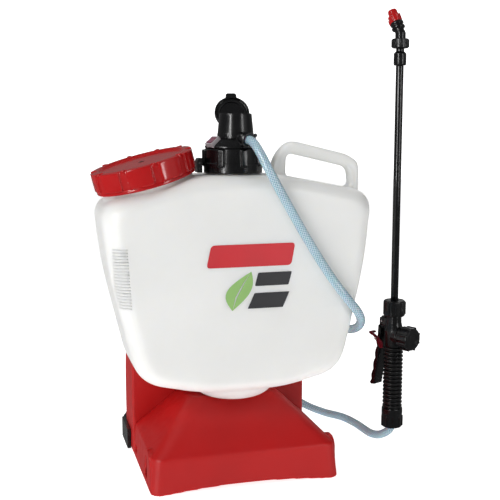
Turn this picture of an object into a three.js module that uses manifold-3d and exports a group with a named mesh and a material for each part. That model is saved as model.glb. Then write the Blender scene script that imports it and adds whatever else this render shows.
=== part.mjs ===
// Backpack sprayer with a battery pump, its hose and its hand lance.
// Millimetres, +Z up. The origin is on the floor, under the middle of the base.
// -Y is the printed front of the tank, +Y is the wearer's back, +X is the lance side.
import * as THREE from 'three';
import { mergeVertices } from 'three/addons/utils/BufferGeometryUtils.js';
import Module from 'manifold-3d';

const wasm = await Module();
wasm.setup();

// ---------------------------------------------------------------- driving dimensions

const GAP = 0.3;                 // air between pieces that touch
const DEG = Math.PI / 180;

// base and back frame
const FOOT_HALF = 141;           // half width of the base on the floor
const BAND_HALF = 137;           // half width at the top of the upright band
const FOOT_FRONT = -135;
const BAND_FRONT = -130;
const BAND_HEIGHT = 50;
const CROWN_HEIGHT = 118;        // the level seat under the tank
const CROWN_HALF = 69;
const CROWN_FRONT = -62;
const CROWN_FALL = 0.24;         // share of the crown's rise lost towards the back
const SHELL = 4;                 // wall of the red mouldings
const PANEL_FRONT = 40;          // front face of the upright panel
const FRAME_REAR = 122;
const FRAME_TOP = 336;
const ARCH_RISE = 6;             // the front edge is arched off the floor
const RIB_FOOT = 9;              // the ribs under the base end this far above the floor

// tank
const TANK_HALF = 193;
const TANK_FRONT = -124;
const TANK_BACK = 38;
const TANK_WALL = 4;
const TANK_TOP = 446;
const TANK_BOTTOM = 134;
const SUMP_RADIUS = 62;
const SUMP_BOTTOM = 115;
const TANK_MIDDLE = (TANK_FRONT + TANK_BACK) / 2;

// filler neck and cap, on an axis that leans left and a little forward
const CAP_TOP = new THREE.Vector3(-134, TANK_MIDDLE, 468.5);
const CAP_LEAN = 15 * DEG;
const CAP_NOD = 3 * DEG;
const CAP_RADIUS = 75;
const CAP_HEIGHT = 33;
const NECK_RADIUS = 66;
const NECK_BORE = 60;
const NECK_TOP = -10.4;           // below the top of the cap, along its axis

// pump drive on the middle neck
const DRIVE_X = 2;
const CUP_X = 6;
const DRIVE_Y = TANK_MIDDLE;
const NUT_BOTTOM = 448;
const NUT_TOP = 484;
const NUT_RADIUS = 43;
const SHOULDER_TOP = 497;
const CUP_TOP = 534;
const CUP_FOOT_RADIUS = 27;
const CUP_RIM_RADIUS = 23.6;
const CUP_WALL = 2.2;

// lance, on an upright axis beside the base
const LANCE_X = 273.5;
const LANCE_Y = -23;
const LANCE_TURN = -65 * DEG;    // the valve chamber points to the front right
const HOSE_RADIUS = 6.5;
const GRIP_FOOT = 61.3;
const GRIP_TOP = 163;
const VALVE_TOP = 213;
const VALVE_AXIS = 181;          // height of the valve chamber's axis
const TUBE_RADIUS = 6;
const TUBE_TOP = 607.7;
const HEAD_FOOT = 634;
const HEAD_BEND = 656;
const HEAD_LEAN = 27 * DEG;

// ---------------------------------------------------------------- materials

const plastic = (color, roughness, metalness = 0) =>
  new THREE.MeshStandardMaterial({ color, roughness, metalness });
const milky = plastic(0xe9ebe6, 0.42);
const redMatte = plastic(0xb51f1d, 0.45);
const redGloss = plastic(0xc01818, 0.22);
const black = plastic(0x17181a, 0.4);
const blackSoft = plastic(0x202123, 0.75);
const grey = plastic(0xa9a7a8, 0.35);
const pinkSwitch = plastic(0xb4627a, 0.25);
const lockRed = plastic(0x7c1220, 0.4);
const hoseBlue = plastic(0x9cc3d8, 0.25);
const steel = plastic(0xb4b6b8, 0.3, 1);
const brass = plastic(0xb9975a, 0.35, 1);
const webbing = plastic(0x1a1a1c, 0.9);
const foam = plastic(0x242427, 0.95);
const batteryWrap = plastic(0x2b4f86, 0.5);
const whitePart = plastic(0xdcdcd8, 0.5);

// ---------------------------------------------------------------- helpers

const group = new THREE.Group();

function add(parent, name, geometry, material) {
  const mesh = new THREE.Mesh(geometry, material);
  mesh.name = name;
  parent.add(mesh);
  return mesh;
}

function signedVolume(geometry) {
  const p = geometry.attributes.position;
  const index = geometry.index;
  const a = new THREE.Vector3();
  const b = new THREE.Vector3();
  const c = new THREE.Vector3();
  let volume = 0;
  for (let i = 0; i < index.count; i += 3) {
    a.fromBufferAttribute(p, index.getX(i));
    b.fromBufferAttribute(p, index.getX(i + 1));
    c.fromBufferAttribute(p, index.getX(i + 2));
    volume += a.dot(b.cross(c)) / 6;
  }
  return volume;
}

// merges shared corners and turns every face outwards
function closed(geometry) {
  const bare = geometry.clone();
  bare.deleteAttribute('normal');
  bare.deleteAttribute('uv');
  const merged = mergeVertices(bare, 1e-3);
  const kept = [];
  for (let i = 0; i < merged.index.count; i += 3) {
    const t = [0, 1, 2].map((k) => merged.index.getX(i + k));
    if (t[0] !== t[1] && t[1] !== t[2] && t[0] !== t[2]) kept.push(...t);
  }
  merged.setIndex(kept);
  if (signedVolume(merged) < 0) {
    for (let i = 0; i < kept.length; i += 3) [kept[i], kept[i + 1]] = [kept[i + 1], kept[i]];
    merged.setIndex(kept);
  }
  return merged;
}

function solid(geometry) {
  const g = closed(geometry);
  return new wasm.Manifold(new wasm.Mesh({
    numProp: 3,
    vertProperties: new Float32Array(g.attributes.position.array),
    triVerts: new Uint32Array(g.index.array),
  }));
}

function fromSolid(manifold) {
  const mesh = manifold.getMesh();
  const g = new THREE.BufferGeometry();
  g.setAttribute('position', new THREE.BufferAttribute(new Float32Array(mesh.vertProperties), 3));
  g.setIndex(new THREE.BufferAttribute(new Uint32Array(mesh.triVerts), 1));
  return g;
}

// joins every geometry of the first list, then cuts away every one of the second
function shaped(joined, cuts = []) {
  let body = joined.map(solid).reduce((a, b) => a.add(b));
  for (const c of cuts) body = body.subtract(solid(c));
  return fromSolid(body);
}

const moved = (g, x, y, z) => g.translate(x, y, z);
const box = (x0, x1, y0, y1, z0, z1) =>
  moved(new THREE.BoxGeometry(x1 - x0, y1 - y0, z1 - z0), (x0 + x1) / 2, (y0 + y1) / 2, (z0 + z1) / 2);

// a turned piece about Z; the profile is a list of [radius, height]
function turned(profile, segments = 24) {
  const points = profile.map(([r, z]) => new THREE.Vector2(r, z));
  return closed(new THREE.LatheGeometry(points, segments).rotateX(Math.PI / 2));
}

// a closed profile makes a ring
const ring = (profile, segments = 24) => turned([...profile, profile[0]], segments);

const rod = (radius, z0, z1, segments = 18) =>
  turned([[0, z0], [radius, z0], [radius, z1], [0, z1]], segments);

// a rod along X or Y, from one place to another
const rodX = (radius, x0, x1, y, z, segments = 18) =>
  moved(rod(radius, x0, x1, segments).rotateY(Math.PI / 2), 0, y, z);
const rodY = (radius, y0, y1, x, z, segments = 18) =>
  moved(rod(radius, -y1, -y0, segments).rotateX(Math.PI / 2), x, 0, z);

// an outline whose corners [x, y, reach] are rounded over the stated reach
function outline(corners) {
  const shape = new THREE.Shape();
  corners.forEach(([x, y, reach], i) => {
    const here = new THREE.Vector2(x, y);
    const before = new THREE.Vector2(...corners.at(i - 1).slice(0, 2));
    const after = new THREE.Vector2(...corners[(i + 1) % corners.length].slice(0, 2));
    const most = 0.48 * Math.min(before.distanceTo(here), after.distanceTo(here));
    const start = here.clone().add(before.sub(here).setLength(Math.min(reach, most)));
    const end = here.clone().add(after.sub(here).setLength(Math.min(reach, most)));
    if (i === 0) shape.moveTo(start.x, start.y);
    else shape.lineTo(start.x, start.y);
    if (reach > 0) shape.quadraticCurveTo(here.x, here.y, end.x, end.y);
  });
  shape.closePath();
  return shape;
}

// a plate drawn in X and Z, from y0 to y1
function plateXZ(shape, y0, y1, curveSegments = 6, extra = {}) {
  const g = new THREE.ExtrudeGeometry(shape, {
    depth: y1 - y0, bevelEnabled: false, curveSegments, ...extra,
  });
  return moved(g.rotateX(Math.PI / 2), 0, y1, 0);
}

// a plate drawn in Y and Z, from x0 to x1
function plateYZ(shape, x0, x1, curveSegments = 6) {
  const g = new THREE.ExtrudeGeometry(shape, { depth: x1 - x0, bevelEnabled: false, curveSegments });
  return moved(g.rotateX(Math.PI / 2).rotateZ(Math.PI / 2), x0, 0, 0);
}

// a tube of round section through the points
function tube(points, radius, sides, steps) {
  const section = new THREE.Shape(
    Array.from({ length: sides }, (_, i) => {
      const a = (2 * Math.PI * i) / sides;
      return new THREE.Vector2(radius * Math.cos(a), radius * Math.sin(a));
    }),
  );
  const path = new THREE.CatmullRomCurve3(points.map((p) => new THREE.Vector3(...p)), false, 'centripetal');
  return closed(new THREE.ExtrudeGeometry(section, { steps, extrudePath: path, bevelEnabled: false }));
}

// skins a stack of closed rings of [x, y, z], each with as many points
function skinned(rings) {
  const n = rings[0].length;
  const positions = rings.flat(2);
  const index = [];
  for (let r = 0; r + 1 < rings.length; r += 1) {
    for (let i = 0; i < n; i += 1) {
      const j = (i + 1) % n;
      const a = r * n;
      const b = a + n;
      index.push(a + i, a + j, b + j, a + i, b + j, b + i);
    }
  }
  const flat = (ringPoints) => ringPoints.map(([x, y]) => new THREE.Vector2(x, y));
  const caps = THREE.ShapeUtils.triangulateShape(flat(rings[0]), []);
  const top = (rings.length - 1) * n;
  for (const [a, b, c] of caps) {
    index.push(c, b, a);
    index.push(top + a, top + b, top + c);
  }
  const g = new THREE.BufferGeometry();
  g.setAttribute('position', new THREE.BufferAttribute(new Float32Array(positions), 3));
  g.setIndex(index);
  return closed(g);
}

// a rectangle's ring at height z, rounded at its front corners
function footRing(half, front, back, corner, z) {
  const steps = 4;
  const points = [];
  const arc = (cx, cy, from) => {
    for (let i = 0; i <= steps; i += 1) {
      const a = from + (i / steps) * (Math.PI / 2);
      points.push([cx + corner * Math.cos(a), cy + corner * Math.sin(a), z]);
    }
  };
  arc(-half + corner, front + corner, Math.PI);
  arc(half - corner, front + corner, 1.5 * Math.PI);
  points.push([half, back, z], [-half, back, z]);
  return points;
}

// a flat strap: stations of [centre, across], a width and a thickness
function strap(stations, width, thickness) {
  const rings = stations.map(({ at, across }, i) => {
    const centre = new THREE.Vector3(...at);
    const side = new THREE.Vector3(...across).normalize();
    const next = new THREE.Vector3(...stations[Math.min(i + 1, stations.length - 1)].at);
    const last = new THREE.Vector3(...stations[Math.max(i - 1, 0)].at);
    const along = next.sub(last).normalize();
    side.addScaledVector(along, -side.dot(along)).normalize();
    const out = new THREE.Vector3().crossVectors(along, side);
    return [[-1, -1], [1, -1], [1, 1], [-1, 1]].map(([s, t]) => centre.clone()
      .addScaledVector(side, (s * width) / 2)
      .addScaledVector(out, (t * thickness) / 2).toArray());
  });
  const positions = rings.flat(2);
  const index = [];
  for (let r = 0; r + 1 < rings.length; r += 1) {
    for (let i = 0; i < 4; i += 1) {
      const j = (i + 1) % 4;
      const [a, b, c, d] = [4 * r + i, 4 * r + j, 4 * r + 4 + j, 4 * r + 4 + i];
      // both wide faces are split along the same diagonal, so a twist never pinches
      if (i === 2) index.push(a, b, d, b, c, d);
      else index.push(a, b, c, a, c, d);
    }
  }
  const top = positions.length / 3 - 4;
  index.push(0, 2, 1, 0, 3, 2, top, top + 1, top + 2, top, top + 2, top + 3);
  const g = new THREE.BufferGeometry();
  g.setAttribute('position', new THREE.BufferAttribute(new Float32Array(positions), 3));
  g.setIndex(index);
  return closed(g);
}

// ---------------------------------------------------------------- base

// the bowl under the tank that the base carries
function sump(extra) {
  const r = SUMP_RADIUS + extra;
  const low = SUMP_BOTTOM - extra;
  return moved(turned([
    [0, low], [r * 0.5, low], [r * 0.76, low + 3], [r * 0.92, low + 8], [r, low + 17],
    [r, TANK_BOTTOM + 12], [0, TANK_BOTTOM + 12],
  ], 20), 0, TANK_MIDDLE, 0);
}

// the pyramid of the base, drawn in by the stated inset; the crown falls towards the back
function pyramid(inset, foot) {
  const rear = PANEL_FRONT - GAP - inset;
  const rings = [
    footRing(FOOT_HALF - inset, FOOT_FRONT + inset, rear, 15, foot),
    footRing(BAND_HALF - inset, BAND_FRONT + inset, rear, 17, BAND_HEIGHT - inset * 0.6),
    footRing(CROWN_HALF + 6 - inset, CROWN_FRONT - 6 + inset, rear, 22, CROWN_HEIGHT - 6 - inset),
    footRing(CROWN_HALF - inset, CROWN_FRONT + inset, rear, 20, CROWN_HEIGHT - inset),
  ];
  const span = PANEL_FRONT - CROWN_FRONT;
  for (const point of rings.flat()) {
    const back = Math.max(0, (point[1] - CROWN_FRONT) / span);
    if (point[2] > BAND_HEIGHT) {
      point[2] = BAND_HEIGHT + (point[2] - BAND_HEIGHT) * (1 - CROWN_FALL * back);
    }
  }
  return skinned(rings);
}

function baseShell() {
  const hollow = solid(pyramid(SHELL, -1));
  const ribs = [-110, -55, 0, 55, 110].map((x) => box(x - 2, x + 2, FOOT_FRONT, PANEL_FRONT, RIB_FOOT, CROWN_HEIGHT));
  ribs.push(...[-76, -22].map((y) => box(-FOOT_HALF, FOOT_HALF, y - 2, y + 2, RIB_FOOT, CROWN_HEIGHT)));
  ribs.push(rod(9, 0, 60, 16));
  const inside = ribs.map(solid).reduce((a, b) => a.add(b)).intersect(solid(pyramid(SHELL / 2, 0)));
  let body = solid(pyramid(0, 0)).subtract(hollow).add(inside);
  // raised pads near the front corners, each with an upright slot
  for (const side of [-1, 1]) {
    const pad = outline([[-117, 0, 0], [-117, 46, 6], [-108, 55, 8], [-86, 55, 8], [-76, 44, 6], [-74, 0, 0]]);
    const x = side * (BAND_HALF - 3);
    const plate = plateYZ(pad, Math.min(x, x + side * 6), Math.max(x, x + side * 6), 3);
    body = body.add(solid(plate));
    body = body.subtract(solid(plateYZ(
      outline([[-90, 9, 6], [-90, 42, 6], [-68, 42, 6], [-68, 9, 6]]),
      side < 0 ? -150 : 120, side < 0 ? -120 : 150, 3)));
    body = body.subtract(solid(plateYZ(
      outline([[12, 9, 2], [12, 20, 2], [34, 20, 2], [34, 9, 2]]),
      side < 0 ? -150 : 132, side < 0 ? -132 : 150, 3)));
  }
  const arch = new THREE.Shape();
  arch.moveTo(-112, -1);
  arch.lineTo(-112, 0);
  arch.quadraticCurveTo(0, 2 * ARCH_RISE, 112, 0);
  arch.lineTo(112, -1);
  arch.closePath();
  body = body.subtract(solid(plateXZ(arch, FOOT_FRONT - 5, FOOT_FRONT + 7, 10)));
  return fromSolid(body.subtract(solid(sump(0.6))));
}
add(group, 'base_shell', baseShell(), redMatte);

// ---------------------------------------------------------------- back frame

const BOLT_X = 80;
const BOLT_Z = 262;
const ANCHOR_X = 52;
const ANCHOR_Z = 312;

function backFrame() {
  const panel = outline([
    [-FOOT_HALF, 0, 0], [-FOOT_HALF, 268, 40], [-92, FRAME_TOP, 36],
    [92, FRAME_TOP, 36], [FOOT_HALF, 268, 40], [FOOT_HALF, 0, 0],
  ]);
  const flange = outline([
    [PANEL_FRONT, 0, 0], [FRAME_REAR, 0, 0], [FRAME_REAR, 150, 60], [PANEL_FRONT + 26, 268, 40],
    [PANEL_FRONT, 272, 2],
  ]);
  const parts = [plateXZ(panel, PANEL_FRONT, PANEL_FRONT + SHELL, 6)];
  for (const x of [-FOOT_HALF, FOOT_HALF - SHELL]) parts.push(plateYZ(flange, x, x + SHELL, 6));
  // stiffening ribs on the wearer's side
  for (const z of [70, 140, 210]) {
    parts.push(box(-FOOT_HALF + 2, FOOT_HALF - 2, PANEL_FRONT + 2, PANEL_FRONT + 18, z - 2, z + 2));
  }
  for (const x of [-70, 0, 70]) {
    parts.push(box(x - 2, x + 2, PANEL_FRONT + 2, PANEL_FRONT + 18, 2, 300));
  }
  parts.push(box(-FOOT_HALF + 2, FOOT_HALF - 2, PANEL_FRONT + 2, FRAME_REAR, 0, SHELL));
  // a hook on the right edge that carries the hose
  const hook = outline([
    [118, 112, 0], [151, 112, 8], [160, 122, 3], [160, 136, 1.5], [156, 136, 1.5], [154, 125, 3],
    [148, 120, 4], [118, 120, 0],
  ]);
  parts.push(plateYZ(hook, FOOT_HALF - SHELL, FOOT_HALF, 4));
  const cuts = [-BOLT_X, BOLT_X].map((x) => rodY(4.5, PANEL_FRONT - 1, PANEL_FRONT + 8, x, BOLT_Z, 16));
  for (const x of [-ANCHOR_X, ANCHOR_X]) {
    cuts.push(box(x - 14, x + 14, PANEL_FRONT - 1, PANEL_FRONT + 30, ANCHOR_Z - 2, ANCHOR_Z + 3));
  }
  return shaped(parts, cuts);
}
add(group, 'back_frame', backFrame(), redMatte);

for (const [name, x] of [['tank_bolt_left', -BOLT_X], ['tank_bolt_right', BOLT_X]]) {
  const face = PANEL_FRONT + SHELL + GAP;
  add(group, name, shaped([
    rodY(4, PANEL_FRONT - 12, face + 1, x, BOLT_Z, 16),
    rodY(8, face, face + 5, x, BOLT_Z, 6),
  ]), steel);
}

// ---------------------------------------------------------------- tank

// the tank's front outline, pillowed to the front and back; inset by the wall for its inside
function pillow(inset) {
  const shape = outline([
    [-66, TANK_TOP, 40], [-199, 409, 26], [-190, 318, 60], [-151, 155, 34],
    [-60, TANK_BOTTOM, 30], [60, TANK_BOTTOM, 30], [151, 155, 34], [190, 318, 60],
    [198, 420, 30], [66, TANK_TOP, 40],
  ]);
  const middle = (TANK_TOP + TANK_BOTTOM) / 2;
  const wide = 1 - inset / TANK_HALF;
  const high = 1 - inset / (TANK_TOP - middle);
  const points = shape.getPoints(3).slice(0, -1);
  const crown = 34;              // depth over which the edge rounds off
  const drawIn = 0.13;           // share of the outline lost at the flat faces
  const steps = 3;
  const rings = [];
  const ringAt = (y, share) => rings.push(points.map((p) => [
    p.x * wide * (1 - drawIn * share), middle + (p.y - middle) * high * (1 - drawIn * share), -y,
  ]));
  for (let i = steps; i >= 0; i -= 1) {
    const a = (i / steps) * (Math.PI / 2);
    ringAt(TANK_BACK - inset - crown * (1 - Math.sin(a)), 1 - Math.cos(a));
  }
  for (let i = 0; i <= steps; i += 1) {
    const a = (i / steps) * (Math.PI / 2);
    ringAt(TANK_FRONT + inset + crown * (1 - Math.sin(a)), 1 - Math.cos(a));
  }
  return skinned(rings).rotateX(Math.PI / 2);
}

const capAxis = new THREE.Group();
capAxis.position.copy(CAP_TOP);
capAxis.rotation.set(CAP_NOD, -CAP_LEAN, 0, 'YXZ');
capAxis.updateMatrix();
group.add(capAxis);

// puts a piece that is drawn on the filler axis into the tank's own place
const onFiller = (g) => g.applyMatrix4(capAxis.matrix);

function handleBar() {
  const outer = outline([
    [52, 430, 0], [62, 472, 14], [84, 496, 20], [176, 474, 16], [195, 462, 14], [195, 396, 0],
  ]);
  const gapOpening = outline([
    [79, 441, 8], [80, 477, 12], [178, 454, 10], [181, 428, 8], [172, 423.5, 4], [120, 435, 10],
  ]);
  const y0 = TANK_MIDDLE - 18;
  const y1 = TANK_MIDDLE + 8;
  return {
    bar: plateXZ(outer, y0, y1, 5),
    hole: plateXZ(gapOpening, y0 - 30, y1 + 30, 5),
  };
}

function tank() {
  const { bar, hole } = handleBar();
  const neckDepth = -CAP_HEIGHT - 14;
  let body = solid(pillow(0));
  body = body.add(solid(sump(0)));
  body = body.add(solid(onFiller(rod(NECK_RADIUS, neckDepth, NECK_TOP, 20))));
  body = body.add(solid(moved(rod(36, TANK_TOP - 14, 470, 18), DRIVE_X, DRIVE_Y, 0)));
  // the handle is moulded on, with its finger gap cut above the shoulder
  body = body.add(solid(bar).subtract(solid(hole)));
  let hollow = solid(pillow(TANK_WALL)).add(solid(sump(-TANK_WALL)));
  // solid bosses for the two bolts stay in the rear wall
  for (const x of [-BOLT_X, BOLT_X]) {
    hollow = hollow.subtract(solid(rodY(11, TANK_BACK - 22, TANK_BACK, x, BOLT_Z, 16)));
  }
  hollow = hollow.add(solid(onFiller(rod(NECK_BORE, neckDepth - 8, 0, 20))));
  hollow = hollow.add(solid(moved(rod(31, TANK_TOP - 20, 480, 18), DRIVE_X, DRIVE_Y, 0)));
  body = body.subtract(hollow);
  for (const x of [-BOLT_X, BOLT_X]) {
    body = body.subtract(solid(rodY(4.4, TANK_BACK - 14, TANK_BACK + 1, x, BOLT_Z, 16)));
  }
  return fromSolid(body);
}
add(group, 'tank', tank(), milky);

// ---------------------------------------------------------------- filler cap

add(capAxis, 'filler_strainer', ring([
  [NECK_BORE - 1, -78], [NECK_BORE - 1, NECK_TOP + 0.4], [NECK_RADIUS - 1, NECK_TOP + 0.4],
  [NECK_RADIUS - 1, NECK_TOP + 2.1], [NECK_BORE - 3, NECK_TOP + 2.1], [NECK_BORE - 3, -75],
  [0.0001, -75], [0.0001, -78],
], 20), whitePart);

add(capAxis, 'cap_gasket', ring([
  [NECK_BORE - 2, NECK_TOP + 2.4], [NECK_RADIUS + 1, NECK_TOP + 2.4],
  [NECK_RADIUS + 1, NECK_TOP + 4.7], [NECK_BORE - 2, NECK_TOP + 4.7],
], 20), blackSoft);

function fillerCap() {
  const body = turned([
    [0, -9.4], [50, -9.4], [50, -5.4], [NECK_RADIUS + 2.2, -5.4], [NECK_RADIUS + 2.2, -CAP_HEIGHT],
    [CAP_RADIUS - 3, -CAP_HEIGHT], [CAP_RADIUS - 1.8, -12], [CAP_RADIUS - 4, 0],
    [CAP_RADIUS - 13, 0], [CAP_RADIUS - 15, -3.4], [0, -3.4],
  ], 30);
  const grips = [];
  const count = 10;
  for (let i = 0; i < count; i += 1) {
    const pad = outline([[69, -9, 1], [CAP_RADIUS - 0.6, -9, 2], [CAP_RADIUS - 0.6, 9, 2], [69, 9, 1]]);
    const g = new THREE.ExtrudeGeometry(pad, { depth: CAP_HEIGHT - 3, bevelEnabled: false, curveSegments: 2 });
    grips.push(moved(g, 0, 0, -CAP_HEIGHT + 1.5).rotateZ((i + 0.35) * 2 * Math.PI / count));
  }
  return shaped([body, ...grips], [rod(4.4, -12, 1, 16)]);
}
add(capAxis, 'filler_cap', fillerCap(), redGloss);

add(capAxis, 'vent_valve', shaped(
  [rod(4.1, -11.9, -3.1, 16), rod(6, -11.9, -9.7, 16)],
  [rod(2, -6, 1, 3)],
), blackSoft);

// ---------------------------------------------------------------- drive on the middle neck

const drive = new THREE.Group();
drive.position.set(DRIVE_X, DRIVE_Y, 0);
group.add(drive);

function unionNut() {
  const body = ring([
    [36.4, NUT_BOTTOM], [NUT_RADIUS, NUT_BOTTOM], [NUT_RADIUS, NUT_BOTTOM + 14], [NUT_RADIUS - 1.8, NUT_BOTTOM + 15],
    [NUT_RADIUS - 1.8, NUT_TOP - 1.5], [NUT_RADIUS - 3, NUT_TOP], [30, NUT_TOP], [30, NUT_TOP - 3], [36.4, NUT_TOP - 3],
  ], 24);
  const lugs = [];
  for (const a of [8, 98, 172, 232, 278, 322]) {
    lugs.push(box(38, NUT_RADIUS + 2.4, -5, 5, NUT_BOTTOM + 10, NUT_TOP - 2).rotateZ(a * DEG));
  }
  return shaped([body, ...lugs]);
}
add(drive, 'union_nut', unionNut(), black);

add(drive, 'neck_gasket', ring([[31, 470.3], [35.5, 470.3], [35.5, 472.6], [31, 472.6]], 20), blackSoft);

const SWITCH_AT = [-35.8, 0, 492.2];
const SWITCH_TILT = 39 * DEG;
const SWITCH_TURN = 24 * DEG;

// housing: a flange on the gasket, a shoulder above the nut, and a pocket for the motor
const OUTLET_DIRECTION = new THREE.Vector3(0.15, -0.98, -0.06).normalize();
const OUTLET_ROOT = new THREE.Vector3(CUP_X - DRIVE_X, 0, 499);

function along(g, from, direction) {
  const turn = new THREE.Quaternion().setFromUnitVectors(new THREE.Vector3(0, 0, 1), direction);
  return moved(g.applyQuaternion(turn), from.x, from.y, from.z);
}

function driveHousing() {
  const flange = turned([[0, 473], [35.5, 473], [35.5, 480.4], [29.4, 480.7], [29.4, 486], [0, 486]], 20);
  const shoulder = turned([
    [0, NUT_TOP + GAP], [NUT_RADIUS - 1.5, NUT_TOP + GAP], [NUT_RADIUS - 1.8, NUT_TOP + 3],
    [30.5, SHOULDER_TOP - 1], [29, SHOULDER_TOP], [0, SHOULDER_TOP],
  ], 24);
  const skirt = rod(29.4, 436, 474, 20);
  const stub = along(rod(7.2, 28.5, 46.5, 18), OUTLET_ROOT, OUTLET_DIRECTION);
  const pocket = rod(15.2, 420, 488, 18);
  const duct = along(rod(3, 30, 48, 12), OUTLET_ROOT, OUTLET_DIRECTION);
  const seat = moved(box(-14, 8.8, -8.4, 8.4, -3.1, 12).rotateY(-SWITCH_TILT), ...SWITCH_AT).rotateZ(SWITCH_TURN);
  return shaped([flange, shoulder, skirt, stub], [pocket, duct, seat]);
}
add(drive, 'drive_housing', driveHousing(), black);

add(drive, 'electric_motor', shaped([rod(14.5, 441, 484, 18), rod(5, 483, 487.5, 16), rod(2, 436, 442, 12)]), steel);
add(drive, 'pump_head', shaped(
  [rod(26, 404, 435.4, 24), rod(7, 396, 405, 16)],
  [rod(2.6, 428, 436, 12), rod(3.5, 395, 420, 12)],
), black);
add(drive, 'suction_tube', ring([[3.4, 138], [5, 138], [5, 395.6], [3.4, 395.6]], 16), whitePart);
add(drive, 'suction_filter', shaped([rod(12, 121, 137.6, 18)], [
  rod(9.5, 123, 134, 18), rod(3, 132, 139, 12),
  ...[0, 60, 120].map((a) => box(-14, 14, -2.4, 2.4, 125, 132).rotateZ(a * DEG)),
]), whitePart);

// outlet nut and its clamp ear
add(drive, 'outlet_nut', shaped([
  along(ring([[7.7, 42], [11.6, 42], [11.6, 48.5], [9.4, 50.5], [7.7, 50.5]], 18), OUTLET_ROOT, OUTLET_DIRECTION),
  ...[150, 30].map((a) => along(box(10, 15, -2.2, 2.2, 42.5, 48).rotateZ(a * DEG), OUTLET_ROOT, OUTLET_DIRECTION)),
]), black);

// switch, set in the shoulder at the front left
const switchSeat = new THREE.Group();
switchSeat.rotation.z = SWITCH_TURN;
drive.add(switchSeat);
const switchPlane = new THREE.Group();
switchPlane.position.set(...SWITCH_AT);
switchPlane.rotation.y = -SWITCH_TILT;
switchSeat.add(switchPlane);
add(switchPlane, 'switch_bezel', shaped(
  [box(-8.5, 8.5, -8, 8, -2.8, 4.8)],
  [box(-6.7, 6.7, -6.2, 6.2, 0, 6)],
), grey);
add(switchPlane, 'rocker_switch', shaped([plateXZ(outline([
  [-6, 3.4, 0], [-6, 6.8, 1], [0, 5.2, 3], [6, 5.2, 1], [6, 3.4, 0], [1.2, 0.6, 1], [-1.2, 0.6, 1],
]), -5.6, 5.6, 3)]), pinkSwitch);

// ---------------------------------------------------------------- battery cup and its lid

const cup = new THREE.Group();
cup.position.set(CUP_X, DRIVE_Y, 0);
group.add(cup);

const LID_PIN = new THREE.Vector3(0, 28.6, 517.5);
const LID_TURN = -9 * DEG;
const LID_OPEN = 118 * DEG;

const lidPlane = new THREE.Group();
lidPlane.rotation.z = LID_TURN;
cup.add(lidPlane);

add(cup, 'battery_cup', shaped([
  turned([
    [0, SHOULDER_TOP + GAP], [CUP_FOOT_RADIUS, SHOULDER_TOP + GAP], [CUP_RIM_RADIUS, CUP_TOP - 1],
    [CUP_RIM_RADIUS - 0.8, CUP_TOP], [CUP_RIM_RADIUS - CUP_WALL, CUP_TOP],
    [CUP_FOOT_RADIUS - CUP_WALL - 1.2, SHOULDER_TOP + 2.5], [0, SHOULDER_TOP + 2.5],
  ], 22),
  ...[-1, 1].map((s) => box(s * 7.5 - 1.8, s * 7.5 + 1.8, 22, 30.8, 514.2, 520.8).rotateZ(LID_TURN)),
], [rodX(1.7, -12, 12, LID_PIN.y, LID_PIN.z, 12).rotateZ(LID_TURN)]), black);

add(cup, 'battery_pack', shaped([
  rod(20.4, SHOULDER_TOP + 3, 521, 24), rod(8, 520, 523.5, 18),
]), batteryWrap);

add(lidPlane, 'lid_pin', rodX(1.4, -9.8, 9.8, LID_PIN.y, LID_PIN.z, 12), steel);

// drawn shut on the cup, then opened about its pin
const lidHinge = new THREE.Group();
lidHinge.position.copy(LID_PIN);
lidHinge.rotation.x = -LID_OPEN;
lidPlane.add(lidHinge);

function cupLid() {
  const y = -LID_PIN.y;
  const z = CUP_TOP - LID_PIN.z;
  const disc = moved(turned([
    [0, 0.5], [24.2, 0.5], [24.2, -3], [26.4, -3], [26.4, 2.6], [24.6, 4.4], [0, 4.8],
  ], 20), 0, y, z);
  const tab = moved(new THREE.ExtrudeGeometry(
    outline([[-9, -22, 0], [-8, -35, 4], [8, -35, 4], [9, -22, 0]]),
    { depth: 3, bevelEnabled: false, curveSegments: 3 },
  ), 0, y, z + 1);
  const arm = box(-5, 5, -2.6, 2.2, -2, z + 3.4);
  const knuckle = rodX(3, -5, 5, 0, 0, 16);
  const clear = moved(rod(25.4, -30, 0.4, 20), 0, y, z);
  return shaped([disc, tab, arm, knuckle], [clear.clone(), rodX(1.75, -8, 8, 0, 0, 12)]);
}
add(lidHinge, 'cup_lid', cupLid(), black);
add(lidHinge, 'lid_seal', moved(ring([[19, -1.3], [21, -1.3], [21, 0.2], [19, 0.2]], 24), 0, -LID_PIN.y, CUP_TOP - LID_PIN.z), blackSoft);

// tether between the union nut and the filler cap
add(group, 'cap_tether', shaped([
  plateXZ(outline([[-53.4, 449, 1], [-53.4, 466, 2], [-51, 470, 2], [-45.8, 470, 1], [-45.8, 449, 1]]), -52, -34, 3),
], [rodY(1.8, -60, -20, -49.6, 463, 12), rodY(1.4, -60, -20, -49.6, 455, 12)]), black);

// ---------------------------------------------------------------- hose

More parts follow.
